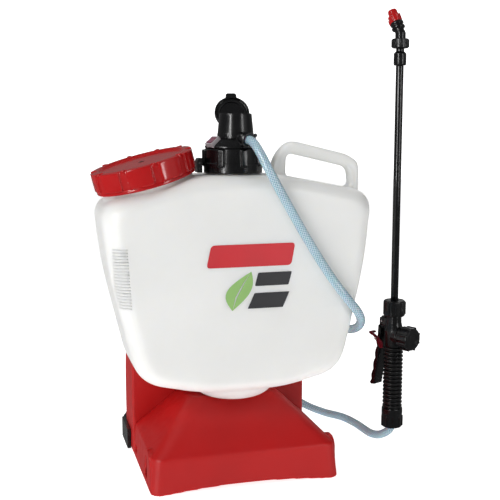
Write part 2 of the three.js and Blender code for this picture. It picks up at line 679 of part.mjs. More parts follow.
const HOSE_ROUTE = [
  [13.13, -89.57, 496.15], [14.3, -97.4, 495.5], [17, -111, 490], [22.5, -124, 475.5], [30, -130.8, 458],
  [41, -132.5, 437],
  [61, -132.5, 402], [84, -132.5, 363], [106, -132.5, 328], [128, -132.5, 296], [149, -132.5, 269],
  [169, -126, 246], [181, -108, 228], [184.5, -84, 213], [182, -55, 204], [179, -15, 199],
  [177, 30, 195], [174, 70, 187], [163, 103, 173], [147, 126, 158], [133, 139, 138],
  [124, 148, 108], [130, 152, 74], [149, 151, 45], [180, 145, 22], [212, 131, 9],
  [236, 103, 7], [246, 66, 7], [249, 35, 7], [252, 12, 7], [258.5, -3, 9],
  [265.5, -12.6, 14.6], [270.8, -19.8, 22.6], [273.2, -22.6, 31], [273.5, -23, 37.6],
];
add(group, 'pressure_hose', tube(HOSE_ROUTE, HOSE_RADIUS, 8, 64), hoseBlue);

// ---------------------------------------------------------------- lance

const lance = new THREE.Group();
lance.position.set(LANCE_X, LANCE_Y, 0);
lance.rotation.z = LANCE_TURN;
group.add(lance);

function winged(profile, wings, reach, z0, z1, segments = 24) {
  const pads = [];
  const inner = Math.max(...profile.map(([r]) => r)) - 1.5;
  for (let i = 0; i < wings; i += 1) {
    pads.push(box(inner, reach, -1.3, 1.3, z0, z1).rotateZ((i * 2 * Math.PI) / wings));
  }
  return shaped([ring(profile, segments), ...pads]);
}

add(lance, 'hose_nut', winged(
  [[9, 29.6], [15.8, 29.6], [16.4, 52], [16.9, GRIP_FOOT - GAP], [13.4, GRIP_FOOT - GAP], [13.4, 38], [7.2, 38]],
  9, 17.9, 30, 47,
), black);

function grip() {
  const profile = [[4, 38.4], [13, 38.4], [13, GRIP_FOOT]];
  const ribs = 16;
  const pitch = (GRIP_TOP - GRIP_FOOT) / ribs;
  for (let i = 0; i < ribs; i += 1) {
    const z = GRIP_FOOT + i * pitch;
    profile.push([13.6, z + 0.2], [15.8, z + pitch * 0.5]);
  }
  profile.push([13.6, GRIP_TOP], [4, GRIP_TOP]);
  return ring(profile, 14);
}
add(lance, 'grip', grip(), blackSoft);

function valveBody() {
  const trunk = turned([
    [0, GRIP_TOP + GAP], [15, GRIP_TOP + GAP], [15, 190], [12, 203], [12, VALVE_TOP], [10.6, VALVE_TOP], [10.6, 236], [0, 236],
  ], 18);
  const chamber = rodX(14.6, 0, 27, 0, VALVE_AXIS, 18);
  const ears = box(-23, -9, -9, 9, 197, 209);
  const slot = box(-30, -13, -6.4, 6.4, 190, 214);
  const pinHole = rodY(1.9, -20, 20, -18, 203, 12);
  const bore = rod(3.4, 160, 240, 16);
  const chamberBore = rodX(8, 12, 30, 0, VALVE_AXIS, 18);
  const stemBore = rodX(2.7, -20, 14, 0, VALVE_AXIS, 12);
  return shaped([trunk, chamber, ears], [slot, pinHole, bore, chamberBore, stemBore]);
}
add(lance, 'valve_body', valveBody(), black);

add(lance, 'valve_cap', shaped([
  moved(turned([
    [0, 28], [8.6, 28], [8.6, 27.4], [15, 27.4], [15, 19], [18.3, 19], [18.5, 38], [16.5, 41], [9, 41.5], [8, 39.5], [0, 39.5],
  ], 18).rotateY(Math.PI / 2), 0, 0, VALVE_AXIS),
  ...[20, 65, 110, 155, 200, 245, 290, 335].map((a) => moved(
    box(-1.2, 1.2, 16, 20.2, 24, 30).rotateZ(a * DEG).rotateY(Math.PI / 2), 0, 0, VALVE_AXIS)),
]), black);

add(lance, 'valve_plunger', shaped([
  rodX(2.3, -17.4, 14.5, 0, VALVE_AXIS, 12), rodX(6.8, 14, 17.5, 0, VALVE_AXIS, 18),
]), brass);

function valveSpring() {
  const turns = 5;
  const points = [];
  for (let i = 0; i <= turns * 8; i += 1) {
    const a = (i / 8) * 2 * Math.PI;
    points.push([21.2 + (i / (turns * 8)) * 5.8, 5 * Math.cos(a), VALVE_AXIS + 5 * Math.sin(a)]);
  }
  return tube(points, 0.5, 4, 30);
}
add(lance, 'valve_spring', valveSpring(), steel);

// trigger lever: its outline in the lance's plane, with finger waves on the outside
function trigger() {
  const shape = new THREE.Shape();
  shape.moveTo(-14.4, 210);
  shape.lineTo(-22, 211);
  shape.lineTo(-25, 204);
  shape.lineTo(-26, 178);
  const waves = [[-27, 160], [-30.5, 140], [-34, 120], [-37.5, 103]];
  for (const [x, z] of waves) shape.quadraticCurveTo(x - 3.4, z + 9, x, z);
  shape.lineTo(-41.5, 96);
  shape.lineTo(-38.5, 93.4);
  shape.lineTo(-31, 94.6);
  shape.lineTo(-25.4, 130);
  shape.lineTo(-22, 160);
  shape.lineTo(-19, 176);
  shape.lineTo(-19, 190);
  shape.lineTo(-13.6, 198);
  shape.closePath();
  const lever = plateXZ(shape, -10, 10, 4);
  // the upper end is narrowed between the ears, and the pin passes through it
  const neck = [box(-24, -10, 5.9, 12, 194, 258), box(-24, -10, -12, -5.9, 194, 258)];
  return shaped([lever], [...neck, rodY(1.9, -12, 12, -18, 203, 12)]);
}
add(lance, 'trigger', trigger(), black);
add(lance, 'trigger_pin', rodY(1.5, -9.6, 9.6, -18, 203, 12), steel);

// latch on the lever's near side
add(lance, 'trigger_lock', shaped([
  plateXZ(outline([
    [-37, 184.6, 1.5], [-37, 180.6, 1.5], [-26, 177, 3], [-14, 160, 3],
    [-8, 161, 2], [-8, 170, 3], [-18, 178, 4], [-27, 182.4, 3],
  ]), -18.4, -15.6, 3),
  box(-37, -31.5, -18.4, -6, 180.8, 184.4),
], [rodY(1.5, -20, 0, -21, 175, 12)]), lockRed);
add(lance, 'lock_pin', shaped([rodY(1.2, -19.2, -10.3, -21, 175, 12), rodY(2.4, -20.2, -18.7, -21, 175, 12)]), steel);

add(lance, 'lance_nut', winged(
  [[12.4, 213.4], [16.8, 213.4], [16.8, 239], [6.4, 239], [6.4, 236.4], [12.4, 236.4]],
  9, 18.4, 222, 239.6,
), black);

add(lance, 'lance_tube', ring([[4.2, 236.7], [TUBE_RADIUS, 236.7], [TUBE_RADIUS, TUBE_TOP], [4.2, TUBE_TOP]], 18), blackSoft);

add(lance, 'tube_ferrule', ring([
  [4.2, TUBE_TOP + GAP], [9.2, TUBE_TOP + GAP], [9.7, 612], [9.7, 626], [6.2, 629], [6.2, 640], [4.2, 640],
], 18), black);

// head that swivels on the ferrule
const head = new THREE.Group();
lance.add(head);
add(head, 'head_nut', winged([[6.6, HEAD_FOOT], [12.6, HEAD_FOOT], [12.6, 648.4], [8.4, 648.4], [8.4, 642], [6.6, 642]], 8, 13.7, 635, 647.6, 18), black);
function nozzleElbow() {
  const foot = rod(8, 642.4, HEAD_BEND + 2, 18);
  const neck = moved(rod(7.4, -1, 9, 18).rotateY(-HEAD_LEAN), 0, 0, HEAD_BEND);
  const collar = moved(turned([[0, 8], [10, 8], [10.4, 11], [8.4, 12.5], [8.4, 14], [10.4, 15.5], [10, 19], [0, 19]], 18)
    .rotateY(-HEAD_LEAN), 0, 0, HEAD_BEND);
  const spigot = moved(rod(6, 18, 27, 18).rotateY(-HEAD_LEAN), 0, 0, HEAD_BEND);
  const bore = rod(2.5, 640, 656, 12);
  const boreUp = moved(rod(2.5, 0, 30, 12).rotateY(-HEAD_LEAN), 0, 0, HEAD_BEND);
  return shaped([foot, neck, collar, spigot], [bore, boreUp]);
}
add(head, 'nozzle_elbow', nozzleElbow(), black);

const nozzleAxis = new THREE.Group();
nozzleAxis.position.set(0, 0, HEAD_BEND);
nozzleAxis.rotation.y = -HEAD_LEAN;
head.add(nozzleAxis);
function nozzleCap() {
  const shell = turned([
    [0, 28], [6.4, 28], [6.4, 19.4], [9.3, 19.4], [9.3, 33], [6.6, 37.5], [4, 40.5], [0, 40.5],
  ], 20);
  const lug = box(-13, -6, -1.8, 1.8, 20, 29);
  const ribs = [40, 100, 160, 220, 280, 340].map((a) => box(8.4, 10, -1, 1, 20, 24).rotateZ(a * DEG));
  return shaped([shell, lug, ...ribs], [rod(1.2, 26, 42, 10), rod(6.4, 18, 28, 20)]);
}
add(nozzleAxis, 'nozzle_cap', nozzleCap(), redGloss);

// ---------------------------------------------------------------- harness

// each strap hangs from the top of the frame, past the wearer's side, to the clip on the flank;
// a station gives the middle of the strap and the way across it, for the left strap
const STRAP_WIDTH = 25;
const PAD_WIDTH = 56;
const UPPER_WEB = [
  { at: [-52, 55.4, 329.6], across: [1, 0, 0] }, { at: [-53, 63, 331], across: [1, 0, 0] },
  { at: [-55, 76, 330], across: [1, 0, 0] }, { at: [-58, 92, 323], across: [1, 0, 0.05] },
  { at: [-61, 104, 312], across: [1, 0, 0.1] },
];
const PAD = [
  { at: [-62, 107, 308], across: [1, 0, 0.12] }, { at: [-66, 120, 286], across: [1, 0, 0.15] },
  { at: [-71, 131, 256], across: [1, 0, 0.18] }, { at: [-77, 138, 222], across: [1, 0, 0.2] },
  { at: [-84, 142, 186], across: [1, 0, 0.22] }, { at: [-89, 143, 152], across: [1, 0, 0.24] },
  { at: [-93.5, 142, 128], across: [1, 0, 0.25] },
];
const LOWER_WEB = [
  { at: [-98, 141.5, 106], across: [1, 0, -0.2] }, { at: [-103, 141, 86], across: [1, 0, -0.3] },
  { at: [-110, 140, 66], across: [1, 0, -0.4] }, { at: [-119, 139, 47], across: [0.9, 0, -0.5] },
  { at: [-128, 139, 31], across: [0.7, 0, -0.7] }, { at: [-135, 138.5, 22], across: [0.3, 0, -1] },
  { at: [-139.4, 134, 17.5], across: [0, 0, -1] }, { at: [-139.8, 126.5, 17], across: [0, 0, -1] },
];

const CLIP_Y = [64, 118];
for (const [word, side] of [['left', -1], ['right', 1]]) {
  const flank = (x0, x1, ...rest) => box(Math.min(side * x0, side * x1), Math.max(side * x0, side * x1), ...rest);
  const sided = (stations) => stations.map(({ at, across }) => ({
    at: [-side * at[0], at[1], at[2]], across: [-side * across[0], across[1], across[2]],
  }));
  // lower clip on the frame's flank, with a bar behind for the webbing
  add(group, `strap_clip_${word}`, shaped([
    flank(FOOT_HALF + GAP, 147, CLIP_Y[0], CLIP_Y[1] + 8, 1, 33),
    flank(FOOT_HALF - 9, 147, FRAME_REAR + 1.5, FRAME_REAR + 8, 1, 33),
  ], [flank(FOOT_HALF - 6.5, 145, FRAME_REAR, FRAME_REAR + 12, 3.9, 30.1)]), black);
  add(group, `strap_anchor_${word}`, shaped([
    flank(ANCHOR_X - 17, ANCHOR_X + 17, PANEL_FRONT + SHELL + GAP, PANEL_FRONT + SHELL + 3.2, ANCHOR_Z - 9, ANCHOR_Z + 9),
    flank(ANCHOR_X - 17, ANCHOR_X - 13.4, PANEL_FRONT + SHELL + 1, PANEL_FRONT + SHELL + 9, ANCHOR_Z + 5, ANCHOR_Z + 20),
    flank(ANCHOR_X + 13.4, ANCHOR_X + 17, PANEL_FRONT + SHELL + 1, PANEL_FRONT + SHELL + 9, ANCHOR_Z + 5, ANCHOR_Z + 20),
    flank(ANCHOR_X - 17, ANCHOR_X + 17, PANEL_FRONT + SHELL + 5, PANEL_FRONT + SHELL + 9, ANCHOR_Z + 16, ANCHOR_Z + 20),
  ]), black);
  add(group, `upper_web_${word}`, strap(sided(UPPER_WEB), STRAP_WIDTH, 2.4), webbing);
  add(group, `shoulder_pad_${word}`, strap(sided(PAD), PAD_WIDTH, 13), foam);
  add(group, `adjuster_${word}`, strap(sided([
    { at: [-94.3, 142, 125.5], across: [1, 0, 0] }, { at: [-97.6, 141.6, 108.5], across: [1, 0, 0] },
  ]), 34, 6), black);
  add(group, `lower_web_${word}`, strap(sided(LOWER_WEB), STRAP_WIDTH, 2.4), webbing);
}

export default group;
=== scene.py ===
import math

import bmesh
import bpy
from mathutils import Matrix, Vector
from mathutils.bvhtree import BVHTree


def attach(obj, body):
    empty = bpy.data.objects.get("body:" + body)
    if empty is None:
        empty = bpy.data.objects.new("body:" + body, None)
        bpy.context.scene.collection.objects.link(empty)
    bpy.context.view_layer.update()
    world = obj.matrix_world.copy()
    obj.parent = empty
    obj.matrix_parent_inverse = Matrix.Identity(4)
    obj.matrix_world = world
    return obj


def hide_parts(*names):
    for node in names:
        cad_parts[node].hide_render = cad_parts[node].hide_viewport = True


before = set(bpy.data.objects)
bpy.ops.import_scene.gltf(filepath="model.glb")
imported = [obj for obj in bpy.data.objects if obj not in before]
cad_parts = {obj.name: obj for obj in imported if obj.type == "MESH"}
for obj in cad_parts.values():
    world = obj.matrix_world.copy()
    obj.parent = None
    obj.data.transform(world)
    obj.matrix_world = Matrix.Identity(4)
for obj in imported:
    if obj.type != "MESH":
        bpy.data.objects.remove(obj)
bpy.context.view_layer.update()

bl_info = {
    "name": "Backpack sprayer",
    "version": (1, 0, 0),
    "blender": (4, 5, 0),
    "location": "View3D > Sidebar > Sprayer",
    "description": "Builds a backpack sprayer with its battery drive, hose, lance and harness",
    "category": "Object",
}

ROOT = "sprayer"
MM = 0.001


def spun(angle, axis="Z"):
    """A turn about an axis through the origin, in degrees."""
    return Matrix.Rotation(math.radians(angle), 4, axis)


# places and sizes in millimetres, +Z up, the origin on the floor under the base
TANK_MIDDLE = -43.0
CAP_PLACE = (Matrix.Translation((-134, TANK_MIDDLE, 468.5))
             @ spun(-15, "Y") @ spun(3, "X"))
DRIVE_PLACE = Matrix.Translation((2, TANK_MIDDLE, 0))
CUP_PLACE = Matrix.Translation((6, TANK_MIDDLE, 0))
LID_PLACE = CUP_PLACE @ spun(-9) @ Matrix.Translation((0, 28.6, 517.5))
LANCE_PLACE = Matrix.Translation((273.5, -23, 0)) @ spun(-65)
VALVE_PLACE = LANCE_PLACE @ Matrix.Translation((0, 0, 181)) @ spun(90, "Y")
NOZZLE_PLACE = LANCE_PLACE @ Matrix.Translation((0, 0, 656)) @ spun(-27, "Y")
OUTLET_WAY = Vector((0.15, -0.98, -0.06)).normalized()
OUTLET_PLACE = (Matrix.Translation((6, TANK_MIDDLE, 499))
                @ OUTLET_WAY.to_track_quat("Z", "Y").to_matrix().to_4x4())

GRIP_FOOT, GRIP_TOP, GRIP_RIBS = 61.3, 163, 16
CREASE_DEPTH = 2.6        # the slanted crease at the tank's right front
PRINT_STEP = 4            # the printed shapes are cut this fine, so that they follow the wall

# camera in metres and degrees, then the lights: name, place, size and share of the key light's power
CAMERA_AT = (-0.32533, -1.33173, 0.523)
CAMERA_PAN, CAMERA_TILT, LENS = 15.33, 8.14, 64.96
WORLD_LIGHT = 0.17
STRIP_LENGTH = 1.7
LIGHTS = (
    ("key", (-2.0, -1.1, 1.7), 1.0, 0.68), ("fill", (1.9, -1.6, 1.0), 1.4, 0.05),
    ("top", (-0.2, 0.1, 2.3), 1.5, 0.45), ("rim", (1.3, 1.4, 1.2), 0.8, 0.08),
    ("strip_left", (-1.7, -1.5, 0.75), 0.26, 0.75), ("strip_right", (1.2, -1.9, 0.9), 0.18, 0.35),
)

HOSE_ROUTE = [
    (13.13, -89.57, 496.15), (14.3, -97.4, 495.5), (17, -111, 490), (22.5, -124, 475.5), (30, -130.8, 458),
    (41, -132.5, 437), (61, -132.5, 402), (84, -132.5, 363), (106, -132.5, 328), (128, -132.5, 296),
    (149, -132.5, 269), (169, -126, 246), (181, -108, 228), (184.5, -84, 213), (182, -55, 204),
    (179, -15, 199), (177, 30, 195), (174, 70, 187), (163, 103, 173), (147, 126, 158), (133, 139, 138),
    (124, 148, 108), (130, 152, 74), (149, 151, 45), (180, 145, 22), (212, 131, 9), (236, 103, 7),
    (246, 66, 7), (249, 35, 7), (252, 12, 7), (258.5, -3, 9), (265.5, -12.6, 14.6), (270.8, -19.8, 22.6),
    (273.2, -22.6, 31), (273.5, -23, 37.6),
]
TANK_OUTLINE = [
    (-66, 446, 40), (-199, 409, 26), (-190, 318, 60), (-151, 155, 34), (-60, 134, 30),
    (60, 134, 30), (151, 155, 34), (190, 318, 60), (198, 420, 30), (66, 446, 40),
]


# ------------------------------------------------------------------ sizes and colours

def colour(name, text, value):
    return bpy.props.FloatVectorProperty(name=name, description=text, subtype="COLOR", size=3,
                                         min=0.0, max=1.0, default=value)


class SprayerTank(bpy.types.PropertyGroup):
    shade: colour("Tank", "Milky colour of the tank", (0.86, 0.865, 0.85))
    crown: bpy.props.FloatProperty(name="Edge rounding", description="Depth over which the tank's edge rounds off",
                                   default=0.034, min=0.01, max=0.06, unit="LENGTH")
    scale_bars: bpy.props.IntProperty(name="Level bars", description="Fine bars of the level scale",
                                      default=20, min=4, max=40)


class SprayerMouldings(bpy.types.PropertyGroup):
    red: colour("Red", "Colour of the base and frame", (0.52, 0.006, 0.006))
    cap_red: colour("Cap red", "Colour of the filler cap and nozzle", (0.42, 0.004, 0.005))
    black: colour("Black", "Colour of the drive and valve", (0.0035, 0.0036, 0.0042))
    grips: bpy.props.IntProperty(name="Cap grips", description="Raised grips round the filler cap",
                                 default=10, min=6, max=16)


class SprayerHose(bpy.types.PropertyGroup):
    tint: colour("Hose", "Tint of the hose", (0.22, 0.40, 0.50))
    diameter: bpy.props.FloatProperty(name="Diameter", description="Outer diameter of the hose",
                                      default=0.013, min=0.008, max=0.02, unit="LENGTH")


class SprayerStage(bpy.types.PropertyGroup):
    paper: colour("Backdrop", "Colour of the backdrop", (0.9, 0.9, 0.9))
    light: bpy.props.FloatProperty(name="Key light", description="Power of the main light",
                                   default=38.0, min=1.0, max=200.0, unit="POWER")


# ------------------------------------------------------------------ materials

class Graph:
    """A material's node tree, with short calls for the nodes used here."""

    def __init__(self, name, base, roughness, **sockets):
        self.material = bpy.data.materials.new(name)
        self.material.use_nodes = True
        self.tree = self.material.node_tree
        self.shader = self.tree.nodes["Principled BSDF"]
        self.shader.inputs["Base Color"].default_value = (*base, 1)
        self.shader.inputs["Roughness"].default_value = roughness
        for socket, value in sockets.items():
            self.shader.inputs[socket.replace("_", " ")].default_value = value
        self.place = self.node("ShaderNodeTexCoord").outputs["Object"]

    def node(self, kind, links=None, **values):
        made = self.tree.nodes.new(kind)
        for key, value in values.items():
            setattr(made, key, value)
        for socket, source in (links or {}).items():
            if isinstance(source, bpy.types.NodeSocket):
                self.tree.links.new(source, made.inputs[socket])
            else:
                made.inputs[socket].default_value = source
        return made

    def noise(self, scale, detail=3.0, where=None):
        return self.node("ShaderNodeTexNoise", {"Vector": where or self.place, "Scale": scale,
                                                "Detail": detail}).outputs["Fac"]

    def math(self, operation, a, b=0.0):
        return self.node("ShaderNodeMath", {0: a, 1: b}, operation=operation).outputs[0]

    def span(self, value, low=0.3, high=0.7, to_low=0.0, to_high=1.0):
        return self.node("ShaderNodeMapRange", {"Value": value, "From Min": low, "From Max": high,
                                                "To Min": to_low, "To Max": to_high}).outputs["Result"]

    def mix(self, factor, a, b):
        made = self.node("ShaderNodeMix", data_type="RGBA")
        for socket, source in ((made.inputs[0], factor), (made.inputs[6], a), (made.inputs[7], b)):
            if isinstance(source, bpy.types.NodeSocket):
                self.tree.links.new(source, socket)
            else:
                socket.default_value = (*source, 1)
        return made.outputs[2]

    def bump(self, height, distance, strength=1.0, under=None):
        links = {"Height": height, "Distance": distance, "Strength": strength}
        if under is not None:
            links["Normal"] = under
        return self.node("ShaderNodeBump", links).outputs["Normal"]

    def finish(self, base=None, roughness=None, normal=None):
        for socket, source in (("Base Color", base), ("Roughness", roughness), ("Normal", normal)):
            if source is not None:
                self.tree.links.new(source, self.shader.inputs[socket])
        return self.material


def tinted(shade, factor):
    return tuple(min(1.0, c * factor) for c in shade)


def moulded_plastic(name, shade, roughness, grain=0.00006, grain_scale=1400.0, worn=0.0, **sockets):
    """Moulded plastic: a fine grain, slight flow marks, and edges a little paler where they are worn."""
    g = Graph(name, shade, roughness, **sockets)
    flow = g.noise(9.0, 5.0)
    fine = g.noise(grain_scale, 2.0)
    patches = g.noise(60.0, 6.0)
    base = g.mix(g.span(flow), tinted(shade, 0.92), tinted(shade, 1.07))
    if worn:
        edge = g.span(g.node("ShaderNodeNewGeometry").outputs["Pointiness"], 0.53, 0.62, 0.0, worn)
        pale = tuple(c + (0.6 - c) * 0.35 for c in shade)
        base = g.mix(g.math("MULTIPLY", edge, g.span(patches, 0.35, 0.65)), base, pale)
    rough = g.span(patches, 0.3, 0.7, max(roughness - 0.05, 0.02), roughness + 0.06)
    normal = g.bump(fine, grain, 0.8, g.bump(flow, 0.0012, 0.25))
    return g.finish(base, rough, normal)


def milky_plastic(name, shade):
    """Thin translucent tank wall: light spreads in it, with faint thick and thin patches."""
    g = Graph(name, shade, 0.36, Subsurface_Weight=0.55, Subsurface_Scale=0.02,
              Subsurface_Radius=(1.0, 0.95, 0.85), Specular_IOR_Level=0.42)
    g.shader.subsurface_method = "RANDOM_WALK"
    wide = g.noise(7.0, 4.0)
    fine = g.noise(900.0, 3.0)
    base = g.mix(g.span(wide), tinted(shade, 0.965), tinted(shade, 1.03))
    rough = g.span(g.noise(45.0, 5.0), 0.3, 0.7, 0.31, 0.44)
    return g.finish(base, rough, g.bump(fine, 0.00005, 0.8, g.bump(wide, 0.003, 0.3)))


def braided_hose(name, tint):
    """Clear tinted hose over a crossed braid; the threads run on two spirals."""
    g = Graph(name, tint, 0.2, Coat_Weight=1.0, Coat_Roughness=0.08, Subsurface_Weight=0.3,
              Subsurface_Scale=0.004, Specular_IOR_Level=0.5)
    parts = g.node("ShaderNodeSeparateXYZ", {0: g.node("ShaderNodeTexCoord").outputs["UV"]})
    turn = g.math("MULTIPLY", parts.outputs[0], 9.0)
    run = g.math("MULTIPLY", parts.outputs[1], 240.0)
    threads = None
    for way in ("ADD", "SUBTRACT"):
        phase = g.math("FRACT", g.math(way, run, turn))
        line = g.span(g.math("ABSOLUTE", g.math("SUBTRACT", phase, 0.5)), 0.32, 0.42)
        threads = line if threads is None else g.math("MAXIMUM", threads, line)
    inner = g.mix(g.span(g.noise(40.0)), tinted(tint, 0.84), tinted(tint, 1.1))
    base = g.mix(g.math("MULTIPLY", threads, 0.75), inner, (0.72, 0.84, 0.9))
    return g.finish(base, g.span(threads, 0.0, 1.0, 0.16, 0.3), g.bump(threads, 0.00025, 0.6))


def woven_webbing(name, shade, pitch=0.0016):
    """Flat webbing: ribs across it, crossed by the long threads."""
    g = Graph(name, shade, 0.85, Sheen_Weight=0.35, Sheen_Roughness=0.5)
    parts = g.node("ShaderNodeSeparateXYZ", {0: g.node("ShaderNodeTexCoord").outputs["UV"]})
    across = g.math("SINE", g.math("MULTIPLY", parts.outputs[0], 2 * math.pi / pitch))
    along = g.math("SINE", g.math("MULTIPLY", parts.outputs[1], 2 * math.pi / (pitch * 1.5)))
    weave = g.math("MULTIPLY", across, along)
    height = g.span(weave, -1.0, 1.0)
    # the colour follows the weave's height: painted shade in the dips between threads, painted light on their tops
    base = g.mix(height, tinted(shade, 0.6), tinted(shade, 1.7))
    return g.finish(base, g.span(g.noise(80.0), 0.3, 0.7, 0.78, 0.92), g.bump(height, 0.0004, 0.9))


def padded_cloth(name, shade, pitch=0.0012):
    """Hard-wearing pad cover: a plain weave seen from any side, with soft rubbed patches."""
    g = Graph(name, shade, 0.88, Sheen_Weight=0.4, Sheen_Roughness=0.5)
    parts = g.node("ShaderNodeSeparateXYZ", {0: g.place})
    wave = [g.math("SINE", g.math("MULTIPLY", parts.outputs[i], 2 * math.pi / pitch)) for i in (0, 2)]
    height = g.span(g.math("MULTIPLY", *wave), -1.0, 1.0)
    rubbed = g.span(g.noise(22.0, 6.0), 0.35, 0.7)
    base = g.mix(rubbed, tinted(shade, 0.75), tinted(shade, 1.5))
    return g.finish(base, g.span(rubbed, 0.0, 1.0, 0.82, 0.94), g.bump(height, 0.0003, 0.8))


def turned_metal(name, shade, roughness):
    """Metal with fine turning marks and dulled patches."""
    g = Graph(name, shade, roughness, Metallic=1.0)
    marks = g.noise(2600.0, 2.0)
    dull = g.noise(140.0, 5.0)
    base = g.mix(g.span(dull), tinted(shade, 0.85), tinted(shade, 1.08))
    rough = g.span(dull, 0.3, 0.7, roughness - 0.06, roughness + 0.12)
    return g.finish(base, rough, g.bump(marks, 0.00002, 0.7))


def backdrop_paper(name, shade):
    g = Graph(name, shade, 0.9, Emission_Color=(1, 1, 1, 1), Emission_Strength=0.9)
    fine = g.noise(350.0, 4.0)
    base = g.mix(g.span(g.noise(2.0)), tinted(shade, 0.985), tinted(shade, 1.01))
    return g.finish(base, None, g.bump(fine, 0.0001, 0.2))


# label, shade or the setting that holds it, roughness, depth and fineness of the grain, wear, specular level
PLASTICS = {
    "red": ("red_moulding", "red", 0.42, 0.0001, 1100.0, 0.25, 0.3),
    "cap_red": ("red_gloss", "cap_red", 0.15, 0.00003, 800.0, 0.25, 0.5),
    "black": ("black_satin", "black", 0.22, 0.00004, 1500.0, 0.08, 0.45),
    "rubber": ("black_rubber", (0.004, 0.004, 0.0045), 0.3, 0.00008, 1700.0, 0.05, 0.45),
    "tube": ("tube_black", (0.0035, 0.0035, 0.004), 0.16, 0.00003, 2000.0, 0.0, 0.5),
    "grey": ("grey_bezel", (0.40, 0.36, 0.38), 0.35, 0.00006, 1400.0, 0.0, 0.5),
    "lock": ("dark_red", (0.11, 0.003, 0.009), 0.3, 0.00006, 1400.0, 0.1, 0.2),
    "print_red": ("print_red", (0.62, 0.02, 0.03), 0.4, 0.00002, 2200.0, 0.0, 0.5),
    "print_green": ("print_green", (0.30, 0.54, 0.16), 0.4, 0.00002, 2200.0, 0.0, 0.5),
    "print_dark": ("print_dark", (0.035, 0.035, 0.04), 0.4, 0.00002, 2200.0, 0.0, 0.5),
    "white": ("white_nylon", (0.72, 0.72, 0.70), 0.5, 0.00006, 1400.0, 0.0, 0.5),
    "battery": ("battery_wrap", (0.03, 0.10, 0.26), 0.3, 0.00006, 1400.0, 0.0, 0.5),
}
MATERIALS = {}


def material(name):
    """The named material, made once."""
    scene = bpy.context.scene
    makers = {
        "milky": lambda: milky_plastic("milky_wall", scene.sprayer_tank.shade),
        "pink": lambda: moulded_plastic("pink_rocker", (0.24, 0.09, 0.13), 0.18, 0.00002, 900.0,
                                        Subsurface_Weight=0.3, Subsurface_Scale=0.003),
        "hose": lambda: braided_hose("braided_hose", scene.sprayer_hose.tint),
        "webbing": lambda: woven_webbing("webbing_weave", (0.018, 0.018, 0.02)),
        "pad": lambda: padded_cloth("pad_cloth", (0.022, 0.022, 0.025)),
        "steel": lambda: turned_metal("zinc_steel", (0.62, 0.63, 0.64), 0.3),
        "brass": lambda: turned_metal("turned_brass", (0.60, 0.44, 0.20), 0.28),
        "paper": lambda: backdrop_paper("backdrop_paper", scene.sprayer_stage.paper),
    }
    if name not in MATERIALS and name in PLASTICS:
        label, shade, *finish, level = PLASTICS[name]
        if isinstance(shade, str):
            shade = getattr(scene.sprayer_mouldings, shade)
        MATERIALS[name] = moulded_plastic(label, shade, *finish, Specular_IOR_Level=level)
    elif name not in MATERIALS:
        MATERIALS[name] = makers[name]()
    return MATERIALS[name]


# ------------------------------------------------------------------ shapes, in millimetres

def lathe(profile, place=Matrix(), segments=96):
    """A turned solid about Z from (radius, height) points; it closes on the axis or on itself."""
    bm = bmesh.new()
    ring_closed = profile[0][0] > 0 and profile[-1][0] > 0
    rows = []
    for r, z in profile:
        if r <= 0:
            rows.append([bm.verts.new((0, 0, z))])
        else:
            rows.append([bm.verts.new((r * math.cos(a), r * math.sin(a), z))
                         for a in (2 * math.pi * i / segments for i in range(segments))])
    pairs = list(zip(rows, rows[1:])) + ([(rows[-1], rows[0])] if ring_closed else [])
    for low, high in pairs:
        for i in range(segments):
            j = (i + 1) % segments
            corners = [low[i % len(low)], low[j % len(low)], high[j % len(high)], high[i % len(high)]]
            unique = list(dict.fromkeys(corners))
            if len(unique) > 2:
                bm.faces.new(unique)
    return settled(bm, place)


def placed(name, data):
    """A new object of the scene that holds the data."""
    made = bpy.data.objects.new(name, data)
    bpy.context.scene.collection.objects.link(made)
    return made


def as_shown(holder):
    """The object's mesh with its modifiers applied."""
    return bpy.data.meshes.new_from_object(holder.evaluated_get(bpy.context.evaluated_depsgraph_get()))


def studs(angles, place, size, edge):
    """One block of the (x0, x1, y0, y1, z0, z1) size at each angle round a place's axis."""
    return [block(*size, place @ spun(angle), edge) for angle in angles]


def as_mesh(name, bm):
    """The shape as a mesh; the working copy is let go."""
    mesh = bpy.data.meshes.new(name)
    bm.to_mesh(mesh)
    bm.free()
    return mesh


def skinned(bm, rows):
    """Joins closed rows of vertices one to the next and caps both ends; lists (face, row, i, next i)."""
    count, made = len(rows[0]), []
    for r, (low, high) in enumerate(zip(rows, rows[1:])):
        for i in range(count):
            j = (i + 1) % count
            made.append((bm.faces.new((low[i], low[j], high[j], high[i])), r, i, j))
    for row in (rows[0], rows[-1]):
        bm.faces.new(row)
    return made


def settled(bm, place):
    """The shape turned outwards and moved to its place."""
    bmesh.ops.recalc_face_normals(bm, faces=bm.faces)
    bmesh.ops.transform(bm, matrix=place, verts=bm.verts)
    return bm


def block(x0, x1, y0, y1, z0, z1, place=Matrix(), edge=0.0):
    """A block with its edges rounded off by the stated radius."""
    bm = bmesh.new()
    bmesh.ops.create_cube(bm, size=1)
    bmesh.ops.scale(bm, vec=(x1 - x0, y1 - y0, z1 - z0), verts=bm.verts)
    bmesh.ops.translate(bm, vec=((x0 + x1) / 2, (y0 + y1) / 2, (z0 + z1) / 2), verts=bm.verts)
    if edge:
        bmesh.ops.bevel(bm, geom=bm.edges[:], offset=edge, segments=3, affect="EDGES", profile=0.5)
    return settled(bm, place)


